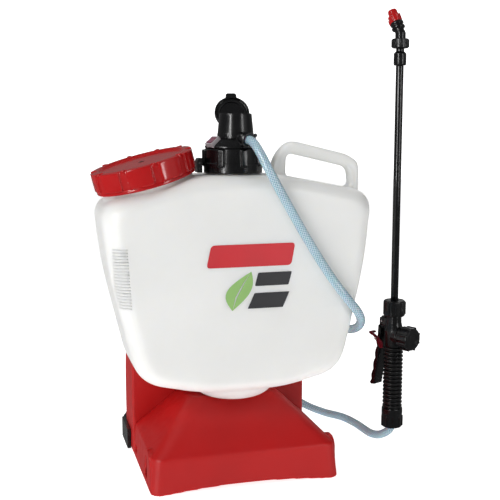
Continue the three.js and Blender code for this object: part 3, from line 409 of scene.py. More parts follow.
def rounded(corners, steps=8):
    """An outline of (x, y) points whose corners (x, y, reach) are rounded."""
    points = []
    for i, (x, y, reach) in enumerate(corners):
        here = Vector((x, y))
        before, after = Vector(corners[i - 1][:2]), Vector(corners[(i + 1) % len(corners)][:2])
        most = min(reach, 0.48 * min((before - here).length, (after - here).length))
        start = here + (before - here).normalized() * most
        end = here + (after - here).normalized() * most
        if not reach:
            points.append(here)
            continue
        for k in range(steps + 1):
            t = k / steps
            points.append(start.lerp(here, t).lerp(here.lerp(end, t), t))
    return points


def plate(outlines, y0, y1, place=Matrix(), edge=1.0):
    """A plate drawn in X and Z with rounded edges, from y0 to y1; further outlines are holes in it."""
    curve = bpy.data.curves.new("plate", "CURVE")
    curve.dimensions = "2D"
    curve.fill_mode = "BOTH"
    curve.extrude = (y1 - y0) / 2 - edge
    curve.bevel_depth = edge
    curve.bevel_resolution = 3
    curve.offset = -edge
    for outline in outlines:
        spline = curve.splines.new("POLY")
        spline.points.add(len(outline) - 1)
        for point, p in zip(spline.points, outline):
            point.co = (p[0], p[1], 0, 1)
        spline.use_cyclic_u = True
    holder = placed("plate", curve)
    bpy.context.view_layer.update()
    mesh = as_shown(holder)
    bm = bmesh.new()
    bm.from_mesh(mesh)
    bpy.data.objects.remove(holder)
    bpy.data.curves.remove(curve)
    bpy.data.meshes.remove(mesh)
    bmesh.ops.remove_doubles(bm, verts=bm.verts, dist=1e-4)
    stand = Matrix.Translation((0, (y0 + y1) / 2, 0)) @ spun(90, "X")
    return settled(bm, place @ stand)


def pillow(crown):
    """The tank's body: its outline rounded off towards the front and the back."""
    outline = rounded(TANK_OUTLINE, 12)
    middle, front, back, draw_in, steps = 290.0, -124.0, 38.0, 0.13, 14
    bm = bmesh.new()
    rows = []
    turns = [math.radians(90 * i / steps) for i in range(steps + 1)]
    stations = [(back - crown * (1 - math.sin(a)), 1 - math.cos(a)) for a in reversed(turns)]
    stations += [(front + crown * (1 - math.sin(a)), 1 - math.cos(a)) for a in turns]
    for y, share in stations:
        k = 1 - draw_in * share
        rows.append([bm.verts.new((p.x * k, y, middle + (p.y - middle) * k)) for p in outline])
    skinned(bm, rows)
    return settled(bm, Matrix())


def finished(name, mesh, body, node, finish, smooth=True):
    """Puts a mesh, in metres, on its body in place of its CAD node."""
    piece = placed(name, mesh)
    mesh.materials.clear()
    mesh.materials.append(material(finish))
    if smooth:
        mesh.shade_smooth()
    if node:
        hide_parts(*([node] if isinstance(node, str) else node))
    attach(piece, body)
    return piece


def evaluated(mesh, modifiers):
    """The mesh with the listed (kind, settings) modifiers applied."""
    holder = placed("holder", mesh)
    for kind, settings in modifiers:
        modifier = holder.modifiers.new(kind, kind)
        for key, value in settings.items():
            setattr(modifier, key, value)
    bpy.context.view_layer.update()
    result = as_shown(holder)
    bpy.data.objects.remove(holder)
    bpy.data.meshes.remove(mesh)
    return result


def fused_mesh(parts, voxel, soften, keep):
    """Melts the parts into one skin with filleted joints; voxel in mm, keep is the share of faces kept."""
    bm = bmesh.new()
    for part in parts:
        scratch = bpy.data.meshes.new("part")
        part.to_mesh(scratch)
        part.free()
        bm.from_mesh(scratch)
        bpy.data.meshes.remove(scratch)
    bmesh.ops.triangulate(bm, faces=[f for f in bm.faces if len(f.verts) > 4])
    mesh = as_mesh("fused", bm)
    mesh.transform(Matrix.Scale(MM, 4))
    steps = [("REMESH", {"mode": "VOXEL", "voxel_size": voxel * MM, "adaptivity": 0.0})]
    if soften:
        steps.append(("SMOOTH", {"factor": 0.5, "iterations": soften}))
    if keep < 1:
        steps.append(("DECIMATE", {"ratio": keep}))
    return evaluated(mesh, steps)


def fused(name, parts, body, node, finish="black", voxel=0.5, keep=0.35):
    return finished(name, fused_mesh(parts, voxel, 2, keep), body, node, finish)


def turned(name, profile, place, body, node, finish, segments=96):
    """A lathe piece with its edges eased."""
    bm = lathe(profile, place, segments)
    mesh = as_mesh(name, bm)
    mesh.transform(Matrix.Scale(MM, 4))
    mesh = evaluated(mesh, [("BEVEL", {"width": 0.35 * MM, "segments": 2, "limit_method": "ANGLE",
                                       "angle_limit": math.radians(25)})])
    piece = finished(name, mesh, body, node, finish)
    mesh.set_sharp_from_angle(angle=math.radians(50))
    return piece


def reworked(name, node, body, finish, voxel, soften, keep, crisp=None):
    """A CAD node's own shape with its edges rounded as moulding leaves them; beyond crisp, only lightly."""
    mesh = evaluated(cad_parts[node].data.copy(),
                     [("REMESH", {"mode": "VOXEL", "voxel_size": voxel * MM, "adaptivity": 0.0})])
    mesh = evaluated(mesh, [("SMOOTH", {"factor": 0.5, "iterations": 2 if crisp else soften})])
    if crisp:
        still = [v.co.copy() for v in mesh.vertices]
        mesh = evaluated(mesh, [("SMOOTH", {"factor": 0.5, "iterations": soften})])
        for vertex, place in zip(mesh.vertices, still):
            vertex.co = vertex.co.lerp(place, smoothstep(abs(place.x), crisp, crisp + 0.006))
    return finished(name, evaluated(mesh, [("DECIMATE", {"ratio": keep})]), body, node, finish)


def dressed(node, finish, edge=0.4):
    """Keeps a CAD node and gives it eased edges and its material."""
    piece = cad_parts[node]
    piece.data.materials.clear()
    piece.data.materials.append(material(finish))
    flat = piece.modifiers.new("flat", "DECIMATE")
    flat.decimate_type = "DISSOLVE"
    flat.angle_limit = math.radians(1)
    bevel = piece.modifiers.new("edge", "BEVEL")
    bevel.width = edge * MM
    bevel.segments = 2
    bevel.limit_method = "ANGLE"
    bevel.angle_limit = math.radians(40)
    bevel.harden_normals = True
    return piece


def ribbon(name, stations, width, thickness, body, node, finish):
    """A flat strap through (middle, across) stations, with UVs in metres across and along it."""
    centres = smooth_line([Vector(at) for at, _ in stations], 8)
    acrosses = smooth_line([Vector(way).normalized() for _, way in stations], 8)
    bm = bmesh.new()
    uv = bm.loops.layers.uv.new("UVMap")
    section = [(-0.5, -0.5), (-0.25, -0.62), (0, -0.66), (0.25, -0.62), (0.5, -0.5),
               (0.5, 0.5), (0.25, 0.62), (0, 0.66), (-0.25, 0.62), (-0.5, 0.5)]
    rows, run = [], [0.0]
    for i, (centre, across) in enumerate(zip(centres, acrosses)):
        way = (centres[min(i + 1, len(centres) - 1)] - centres[max(i - 1, 0)]).normalized()
        side = (across - way * across.dot(way)).normalized()
        out = way.cross(side)
        rows.append([bm.verts.new((centre + side * s * width + out * t * thickness) * MM) for s, t in section])
        if i:
            run.append(run[-1] + (centre - centres[i - 1]).length * MM)
    for face, r, i, j in skinned(bm, rows):
        for loop, (k, v) in zip(face.loops, ((i, r), (j, r), (j, r + 1), (i, r + 1))):
            loop[uv].uv = (section[k][0] * width * MM, run[v])
    bmesh.ops.recalc_face_normals(bm, faces=bm.faces)
    mesh = as_mesh(name, bm)
    piece = finished(name, mesh, body, node, finish)
    mesh.set_sharp_from_angle(angle=math.radians(45))
    return piece


def smooth_line(points, steps):
    """A smooth line through the points, with the stated steps between each two."""
    line = []
    for i in range(len(points) - 1):
        p = [points[max(i - 1, 0)], points[i], points[i + 1], points[min(i + 2, len(points) - 1)]]
        for k in range(steps):
            t = k / steps
            line.append(0.5 * ((2 * p[1]) + (p[2] - p[0]) * t + (2 * p[0] - 5 * p[1] + 4 * p[2] - p[3]) * t * t
                               + (3 * p[1] - p[0] - 3 * p[2] + p[3]) * t ** 3))
    return line + [points[-1].copy()]


def smoothstep(value, low, high):
    t = min(max((value - low) / (high - low), 0.0), 1.0)
    return t * t * (3 - 2 * t)


# ------------------------------------------------------------------ operators

class SprayerCamera(bpy.types.Operator):
    """Sets the camera in front of the sprayer, a little to its left"""
    bl_idname = "sprayer.camera"
    bl_label = "Camera"

    def execute(self, context):
        data = bpy.data.cameras.new("camera")
        data.lens = LENS
        data.sensor_width = 36.0
        camera = placed("camera", data)
        pan, tilt = math.radians(CAMERA_PAN), math.radians(CAMERA_TILT)
        look = Vector((math.sin(pan) * math.cos(tilt), math.cos(pan) * math.cos(tilt), -math.sin(tilt)))
        camera.location = CAMERA_AT
        camera.rotation_mode = "QUATERNION"
        camera.rotation_quaternion = look.to_track_quat("-Z", "Y")
        context.scene.camera = camera
        return {"FINISHED"}


class SprayerMakeHose(bpy.types.Operator):
    """Lays the pressure hose from the outlet round the tank to the lance"""
    bl_idname = "sprayer.hose"
    bl_label = "Hose"

    def execute(self, context):
        line = smooth_line([Vector(p) for p in HOSE_ROUTE], 8)
        radius, sides = context.scene.sprayer_hose.diameter / 2, 32
        bm = bmesh.new()
        uv = bm.loops.layers.uv.new("UVMap")
        rows, run, side = [], [0.0], Vector((1, 0, 0))
        for i, centre in enumerate(line):
            way = (line[min(i + 1, len(line) - 1)] - line[max(i - 1, 0)]).normalized()
            side = (side - way * side.dot(way)).normalized()
            up = way.cross(side)
            rows.append([bm.verts.new(centre * MM + (side * math.cos(a) + up * math.sin(a)) * radius)
                         for a in (2 * math.pi * k / sides for k in range(sides))])
            if i:
                run.append(run[-1] + (centre - line[i - 1]).length * MM)
        for face, r, k, _ in skinned(bm, rows):
            for loop, (u, v) in zip(face.loops, ((k, r), (k + 1, r), (k + 1, r + 1), (k, r + 1))):
                loop[uv].uv = (u / sides, run[v])
        bmesh.ops.recalc_face_normals(bm, faces=bm.faces)
        mesh = as_mesh("hose", bm)
        piece = finished("hose", mesh, ROOT, "pressure_hose", "hose")
        return {"FINISHED"}


class SprayerMakeTank(bpy.types.Operator):
    """Makes the milky tank with its handle, necks and level scale"""
    bl_idname = "sprayer.tank"
    bl_label = "Tank"

    def execute(self, context):
        settings = context.scene.sprayer_tank
        bar = rounded([(52, 425, 0), (62, 472, 14), (84, 496, 20), (176, 474, 16), (195, 462, 14),
                       (195, 396, 0), (150, 380, 0), (60, 380, 0)], 10)
        gap = rounded([(79, 441, 8), (80, 477, 12), (178, 454, 10), (181, 428, 8), (172, 423.5, 4),
                       (120, 435, 10)], 10)
        sump = [(0, 115), (31, 115), (42, 116.4), (50, 119.5), (57, 124.6), (60.6, 130), (62, 137), (62, 146),
                (0, 146)]
        parts = [
            pillow(settings.crown / MM),
            plate([bar, gap], TANK_MIDDLE - 18, TANK_MIDDLE + 8, edge=7.0),
            lathe(sump, Matrix.Translation((0, TANK_MIDDLE, 0))),
            lathe([(0, -47), (66, -47), (66, -10.4), (0, -10.4)], CAP_PLACE),
            lathe([(0, 425), (42, 425), (38, 447), (36, 448), (36, 470), (0, 470)], DRIVE_PLACE),
        ]
        mesh = fused_mesh(parts, 2.2, 9, 0.5)
        for vertex in mesh.vertices:
            x, y, z = vertex.co / MM
            if y < -60:
                beyond = (x - 62) * 0.813 + (z - 375) * 0.582
                share = smoothstep(beyond, -4, 5) * smoothstep(z, 210, 260) * smoothstep(400 - z, 0, 30)
                vertex.co.y += CREASE_DEPTH * MM * share
        tank = finished("tank_wall", mesh, ROOT, "tank", "milky")
        self.level_scale(tank, settings.scale_bars)
        bar = rounded([(-57, 320, 6), (-50, 352, 6), (73, 352, 6), (67, 320, 6)], 8)
        share = [k / 12 for k in range(1, 12)]
        leaf = ([(-20, 258)] + [(-20 + 28 * t - 22 * math.sin(math.pi * t), 258 + 55 * t) for t in share]
                + [(8, 313)] + [(8 - 28 * t + 13 * math.sin(math.pi * t), 313 - 55 * t) for t in share])
        vein = [(-19.4, 259), (-15.6, 277), (-4, 297), (6, 310.4), (-2.4, 297), (-13.4, 277)]
        block_mark = rounded([(13, 292, 2), (18, 311, 2), (68, 311, 2), (63, 292, 2)], 6)
        band = rounded([(2.3, 260, 1), (12.5, 282, 1), (64.4, 282, 1), (54.4, 260, 1)], 4)
        for name, outline, lift, finish, slot in (
                ("print_bar", bar, 0.2, "print_red", "red_gloss"),
                ("print_leaf", leaf, 0.2, "print_green", "milky_plastic"),
                ("print_vein", vein, 0.35, "milky", "milky_plastic"),
                ("print_block", block_mark, 0.2, "print_dark", "black_plastic"),
                ("print_band", band, 0.2, "print_dark", "black_plastic")):
            self.printed(tank, name, outline, lift, finish, slot)
        return {"FINISHED"}

    def printed(self, tank, name, outline, lift, finish, slot):
        """A plain printed shape on the front wall, from its (x, z) outline."""
        tree = BVHTree.FromObject(tank, bpy.context.evaluated_depsgraph_get())
        bm = bmesh.new()
        bm.faces.new([bm.verts.new((x, 0, z)) for x, z in outline])
        for axis in (0, 2):
            low, high = min(v.co[axis] for v in bm.verts), max(v.co[axis] for v in bm.verts)
            for k in range(1, int((high - low) / PRINT_STEP)):
                point, normal = Vector(), Vector()
                point[axis], normal[axis] = low + PRINT_STEP * k, 1
                bmesh.ops.bisect_plane(bm, geom=bm.verts[:] + bm.edges[:] + bm.faces[:], plane_co=point,
                                       plane_no=normal)
        for vertex in bm.verts:
            x, z = vertex.co.x, vertex.co.z
            wall = tree.ray_cast(Vector((x, -170, z)) * MM, Vector((0, 1, 0)))[0]
            vertex.co = Vector((x * MM, (wall.y if wall else -0.124) - lift * MM, z * MM))
        back = bmesh.ops.extrude_face_region(bm, geom=bm.faces[:])["geom"]
        bmesh.ops.translate(bm, verts=[g for g in back if isinstance(g, bmesh.types.BMVert)], vec=(0, 0.0006, 0))
        bmesh.ops.recalc_face_normals(bm, faces=bm.faces)
        mesh = as_mesh(name, bm)
        finished(name, mesh, ROOT, None, finish, smooth=False)

    def level_scale(self, tank, count):
        """Fine raised bars up the left front edge, laid on the wall."""
        tree = BVHTree.FromObject(tank, bpy.context.evaluated_depsgraph_get())
        bm = bmesh.new()
        for i in range(count):
            z = 268 + 82 * i / (count - 1)
            left = -186 + (352 - z) * 0.06
            points = []
            for k in range(9):
                start = Vector((left + 20 * k / 8, -170, z)) * MM
                hit = tree.ray_cast(start, Vector((0, 1, 0)))[0]
                if hit is not None:
                    points.append(hit)
            rows = []
            for p in points:
                rows.append([bm.verts.new(p + Vector((0, -dy, dz)) * MM)
                             for dy, dz in ((-0.5, -1.1), (0.5, -0.5), (0.7, 0), (0.5, 0.5), (-0.5, 1.1))])
            if rows:
                skinned(bm, rows)
        bmesh.ops.recalc_face_normals(bm, faces=bm.faces)
        mesh = as_mesh("level_scale", bm)
        finished("level_scale", mesh, ROOT, None, "milky")


class SprayerMakeBase(bpy.types.Operator):
    """Makes the red base and the upright frame behind it"""
    bl_idname = "sprayer.base"
    bl_label = "Base and frame"

    def execute(self, context):
        reworked("base_moulding", "base_shell", ROOT, "red", 1.7, 14, 0.35, crisp=0.119)
        reworked("frame_moulding", "back_frame", ROOT, "red", 1.7, 3, 0.3)
        for node in ("tank_bolt_left", "tank_bolt_right"):
            dressed(node, "steel")
        return {"FINISHED"}


class SprayerMakeCap(bpy.types.Operator):
    """Makes the filler cap with its raised grips, and the parts under it"""
    bl_idname = "sprayer.cap"
    bl_label = "Filler cap"

    def execute(self, context):
        count = context.scene.sprayer_mouldings.grips
        parts = [lathe([
            (0, -9.4), (50, -9.4), (50, -5.4), (68.2, -5.4), (68.2, -33), (72, -33), (72.8, -32.2), (72.8, -29.4),
            (72, -28.8), (72.6, -12), (72.4, -3.4), (71, -1.2), (69, -0.4), (63, -0.4), (61.6, -1), (60.6, -2.8),
            (59.4, -3.4), (0, -3.4),
        ], CAP_PLACE, 128)]
        reach, wide = 74.5, math.radians(132 / count)
        arc = [(reach * math.sin(a), reach * math.cos(a)) for a in (wide * (k / 10 - 1) for k in range(21))]
        pad = [(x * 0.9, y * 0.9) for x, y in reversed(arc[::20])] + arc
        knuckle = rounded([(-2.6, 65, 1), (-2.6, 73.6, 1), (2.6, 73.6, 1), (2.6, 65, 1)], 4)
        upright = CAP_PLACE @ spun(-90, "X")
        for i in range(count):
            parts.append(plate([pad], 1.0, 27.4, upright @ spun((i + 0.35) * 360 / count, "Y"), 1.0))
            parts.append(plate([knuckle], -0.5, 4.0, upright @ spun((i + 0.85) * 360 / count, "Y"), 0.7))
        fused("cap_shell", parts, "filler_cap", "filler_cap", "cap_red", 0.8, 0.4)
        dressed("vent_valve", "rubber")
        dressed("cap_gasket", "rubber", 0.2)
        dressed("filler_strainer", "white")
        dressed("cap_tether", "black")
        return {"FINISHED"}


class SprayerMakeDrive(bpy.types.Operator):
    """Makes the battery drive on the middle neck, with its cup, lid and switch"""
    bl_idname = "sprayer.drive"
    bl_label = "Drive"

    def execute(self, context):
        nut = [lathe([(36.4, 448), (43, 448), (43, 462), (41.4, 463), (41.2, 482), (40, 484), (30, 484),
                      (30, 481), (36.4, 481)], DRIVE_PLACE)]
        nut += studs((8, 98, 172, 232, 278, 322), DRIVE_PLACE, (38, 45.4, -5, 5, 458, 482), 1.2)
        fused("drive_nut", nut, ROOT, "union_nut", voxel=0.7)
        housing = [
            lathe([(0, 436), (29.4, 436), (29.4, 473), (35.5, 473), (35.5, 480.4), (29, 480.8), (29, 484.3),
                   (41.5, 484.3), (41.4, 486.6), (38.4, 489.8), (31.6, 495.6), (30, 496.8), (0, 497)], DRIVE_PLACE),
            lathe([(0, 24), (7.2, 24), (7.2, 46.5), (0, 46.5)], OUTLET_PLACE, 48),
            lathe([(0, 26), (10.4, 26), (9.6, 41), (0, 41)], OUTLET_PLACE, 48),
        ]
        fused("drive_shoulder", housing, ROOT, "drive_housing", voxel=0.7)
        ear = [lathe([(7.7, 42), (11.2, 42), (11.6, 42.6), (11.6, 48), (9.4, 50.5), (7.7, 50.5)], OUTLET_PLACE, 64)]
        ear += studs((150, 30), OUTLET_PLACE, (10, 15, -2.2, 2.2, 42.5, 48), 0.6)
        fused("outlet_clamp", ear, ROOT, "outlet_nut", voxel=0.4, keep=0.4)
        hinge = CUP_PLACE @ spun(-9)
        cup = [lathe([
            (0, 497.3), (26.4, 497.3), (27, 498), (26.6, 505), (26.2, 505.6), (26.3, 506.4), (23.7, 532.8),
            (23.2, 534), (21.8, 534), (21.4, 533), (23.4, 499.8), (0, 499.8)], CUP_PLACE)]
        for side in (-7.5, 7.5):
            cup.append(block(side - 1.8, side + 1.8, 22, 30.8, 514.2, 520.8, hinge, 1.2))
        cup += studs(range(4, 364, 15), CUP_PLACE, (24.6, 26.9, -0.8, 0.8, 498.6, 504.6), 0.3)
        fused("cup_wall", cup, ROOT, "battery_cup")
        opened = LID_PLACE @ spun(-118, "X")
        over = opened @ Matrix.Translation((0, -28.6, 16.5))
        lid = [
            lathe([(0, 0.5), (23.6, 0.5), (24.2, -0.1), (24.2, -3), (26.4, -3), (26.5, 2.2), (25.8, 3.4), (24.2, 4.4),
                   (16, 4.8), (15, 4.2), (0, 4.2)], over),
            plate([rounded([(-9, -22, 0), (-8, -35, 4), (8, -35, 4), (9, -22, 0)], 6)], -4, -1,
                  over @ spun(-90, "X"), 0.8),
            block(-5, 5, -2.6, 2.2, -2, 19.9, opened, 0.8),
            lathe([(0, -5), (3, -5), (3, 5), (0, 5)], opened @ spun(90, "Y"), 32),
        ]
        fused("lid_shell", lid, "cup_lid", "cup_lid")
        for node, finish in (("switch_bezel", "grey"), ("rocker_switch", "pink"), ("lid_pin", "steel"),
                             ("lid_seal", "rubber"), ("neck_gasket", "rubber"), ("battery_pack", "battery"),
                             ("electric_motor", "steel"), ("pump_head", "black"), ("suction_tube", "white"),
                             ("suction_filter", "white")):
            dressed(node, finish, 0.35)
        return {"FINISHED"}


class SprayerMakeLance(bpy.types.Operator):
    """Makes the hand valve, its trigger and the lance with its nozzle"""
    bl_idname = "sprayer.lance"
    bl_label = "Lance"

    def execute(self, context):
        grip = [(4, 38.4), (13, 38.4), (13, 61.3)]
        pitch = (GRIP_TOP - GRIP_FOOT) / GRIP_RIBS
        for i in range(GRIP_RIBS):
            z = GRIP_FOOT + i * pitch
            grip += [(12.4, z + 0.3), (12.4, z + pitch * 0.2), (15.2, z + pitch * 0.36), (15.8, z + pitch * 0.46),
                     (15.8, z + pitch * 0.74), (15.2, z + pitch * 0.84)]
        grip += [(12.6, 162.9), (12.4, 163), (4, 163)]
        turned("grip_sleeve", grip, LANCE_PLACE, "lance", "grip", "rubber", 64)
        trunk = [
            lathe([(3.4, 163.3), (15, 163.3), (15.2, 166), (15, 190), (12.2, 203), (12, 213), (10.6, 213),
                   (10.6, 236), (3.4, 236)], LANCE_PLACE, 64),
            lathe([(0, 0), (14.4, 0), (14.6, 27), (8, 27), (8, 14), (0, 14)], VALVE_PLACE, 64),
            lathe([(0, -1), (16, -1), (16, 3), (0, 3)], VALVE_PLACE @ Matrix.Translation((0, 0, 13)), 64),
        ]
        for side in (-7.8, 7.8):
            trunk.append(block(-23, -9, side - 1.3, side + 1.3, 196, 209, LANCE_PLACE, 1.1))
        fused("valve_trunk", trunk, "lance", "valve_body", voxel=0.6)
        cap = [lathe([(0, 28), (8.6, 28), (8.6, 27.4), (15, 27.4), (15, 19), (18.1, 19), (18.4, 36), (17.6, 39),
                      (15.8, 40.8), (9.6, 41.3), (8.6, 39.6), (0, 39.4)], VALVE_PLACE)]
        cap += studs(range(20, 380, 45), VALVE_PLACE, (15.6, 20.1, -1.4, 1.4, 21, 39.4), 0.8)
        fused("valve_cover", cap, "lance", "valve_cap", voxel=0.55)
        lever = [(-19, 190), (-19, 176), (-22, 160), (-25.4, 130), (-31, 94.6), (-38.5, 93.4), (-41.2, 96)]
        edge = [(-41.2, 96), (-37.5, 103), (-34, 120), (-30.5, 140), (-27, 160), (-26, 178)]
        for (x0, z0), (x1, z1) in zip(edge[1:], edge[2:]):
            for k in range(9):
                t = k / 8
                bulge = 2.2 * math.sin(math.pi * t)
                lever.append((x0 + (x1 - x0) * t - bulge, z0 + (z1 - z0) * t))
        lever += [(-25.4, 190), (-25, 196)]
        narrow = [(-14, 209), (-16, 210.6), (-21.6, 210.8), (-25, 204), (-25.6, 186), (-19, 186), (-18.4, 191),
                  (-13.8, 198)]
        fused("trigger_lever", [plate([lever], -10, 10, LANCE_PLACE, 1.4),
                                plate([narrow], -5.6, 5.6, LANCE_PLACE, 0.9)],
              "trigger", "trigger", voxel=0.6)
        lock = rounded([(-37, 184.6, 1.5), (-37, 180.6, 1.5), (-26, 177, 3), (-14, 160, 3), (-8, 161, 2), (-8, 170, 3),
                        (-18, 178, 4), (-27, 182.4, 3)], 6)
        fused("trigger_catch", [plate([lock], -18.4, -15.6, LANCE_PLACE, 0.7),
                                block(-37, -31.5, -18.4, -6, 180.8, 184.4, LANCE_PLACE, 1.2)],
              "trigger_lock", "trigger_lock", "lock", 0.4, 0.5)
        self.winged("foot_nut", [(9, 29.6), (15, 29.6), (15.8, 30.6), (16.3, 50), (16.9, 52), (16.9, 61), (13.4, 61),
                                 (13.4, 38), (7.2, 38), (7.2, 36), (9, 35)], 9, 17.9, 31, 49, "hose_nut", "lance")
        self.winged("lance_collar", [(12.4, 213.4), (16, 213.4), (16.8, 214.4), (16.8, 237.6), (15.8, 239), (6.4, 239),
                                     (6.4, 236.4), (12.4, 236.4)], 9, 18.4, 216, 237, "lance_nut", "lance")
        self.winged("head_collar", [(6.6, 634), (12, 634), (12.6, 635), (12.6, 647.4), (11.8, 648.4), (8.4, 648.4),
                                    (8.4, 642), (6.6, 642)], 8, 13.7, 635.4, 647, "head_nut", "spray_head")
        turned("lance_pipe", [(4.2, 236.7), (6, 236.7), (6, 607.7), (4.2, 607.7)], LANCE_PLACE, "lance",
               "lance_tube", "tube", 64)
        turned("pipe_ferrule", [(4.2, 608), (9.2, 608), (9.7, 610), (9.7, 625.4), (9, 626.8), (6.3, 629), (6.2, 640),
                                (4.2, 640)], LANCE_PLACE, "lance", "tube_ferrule", "black", 64)
        elbow = [
            lathe([(0, 642.4), (8, 642.4), (8, 657), (0, 657)], LANCE_PLACE, 64),
            lathe([(0, -2), (7.6, -2), (7.4, 8), (10, 8), (10.4, 9), (10.4, 11), (8.4, 12.5), (8.4, 14), (10.4, 15.5),
                   (10.4, 17.6), (9.8, 19), (6, 19), (6, 27), (0, 27)], NOZZLE_PLACE, 64),
            lathe([(0, -7.8), (5, -6.4), (7.8, -2), (7.8, 2), (5, 6.4), (0, 7.8)], NOZZLE_PLACE, 48),
        ]
        fused("nozzle_bend", elbow, "spray_head", "nozzle_elbow", keep=0.4)
        tip = [
            lathe([(6.4, 19.4), (8.6, 19.4), (8.9, 20), (8.4, 31.4), (7.6, 32.2), (7.2, 38.6), (6.4, 40.4), (3.4, 40.5),
                   (2.6, 39.4), (1.2, 39.2), (1.2, 27.6), (6.4, 27.6)], NOZZLE_PLACE, 64),
            block(-13, -7, -1.8, 1.8, 20, 29, NOZZLE_PLACE, 0.7),
        ]
        tip += studs(range(40, 400, 60), NOZZLE_PLACE, (8.2, 10, -1, 1, 20.4, 32), 0.5)
        fused("nozzle_tip", tip, "nozzle_cap", "nozzle_cap", "cap_red", 0.4, 0.4)
        for node, finish in (("valve_plunger", "brass"), ("valve_spring", "steel"), ("trigger_pin", "steel"),
                             ("lock_pin", "steel")):
            dressed(node, finish, 0.15)
        return {"FINISHED"}

    def winged(self, name, profile, wings, reach, z0, z1, node, body):
        """A nut with upright wings round it."""
        inner = max(r for r, _ in profile) - 2
        parts = [lathe(profile, LANCE_PLACE, 72)]
        parts += studs([360 * i / wings for i in range(wings)], LANCE_PLACE, (inner, reach, -1.3, 1.3, z0, z1), 0.6)
        fused(name, parts, body, node)


UPPER_WEB = [
    ((-52, 55.4, 329.6), (1, 0, 0)), ((-53, 63, 331), (1, 0, 0)), ((-55, 76, 330), (1, 0, 0)),
    ((-58, 92, 323), (1, 0, 0.05)), ((-61, 104, 312), (1, 0, 0.1)),
]
PAD_LINE = [
    ((-62, 107, 308), (1, 0, 0.12)), ((-66, 120, 286), (1, 0, 0.15)), ((-71, 131, 256), (1, 0, 0.18)),
    ((-77, 138, 222), (1, 0, 0.2)), ((-84, 142, 186), (1, 0, 0.22)), ((-89, 143, 152), (1, 0, 0.24)),
    ((-93.5, 142, 128), (1, 0, 0.25)),
]
LOWER_WEB = [
    ((-98, 141.5, 106), (1, 0, -0.2)), ((-103, 141, 86), (1, 0, -0.3)), ((-110, 140, 66), (1, 0, -0.4)),
    ((-119, 139, 47), (0.9, 0, -0.5)), ((-128, 139, 31), (0.7, 0, -0.7)), ((-135, 138.5, 22), (0.3, 0, -1)),
    ((-139.4, 134, 17.5), (0, 0, -1)), ((-139.8, 126.5, 17), (0, 0, -1)),
]
BUCKLE_LINE = [((-94.3, 142, 125.5), (1, 0, 0)), ((-96, 141.8, 117), (1, 0, 0)), ((-97.6, 141.6, 108.5), (1, 0, 0))]


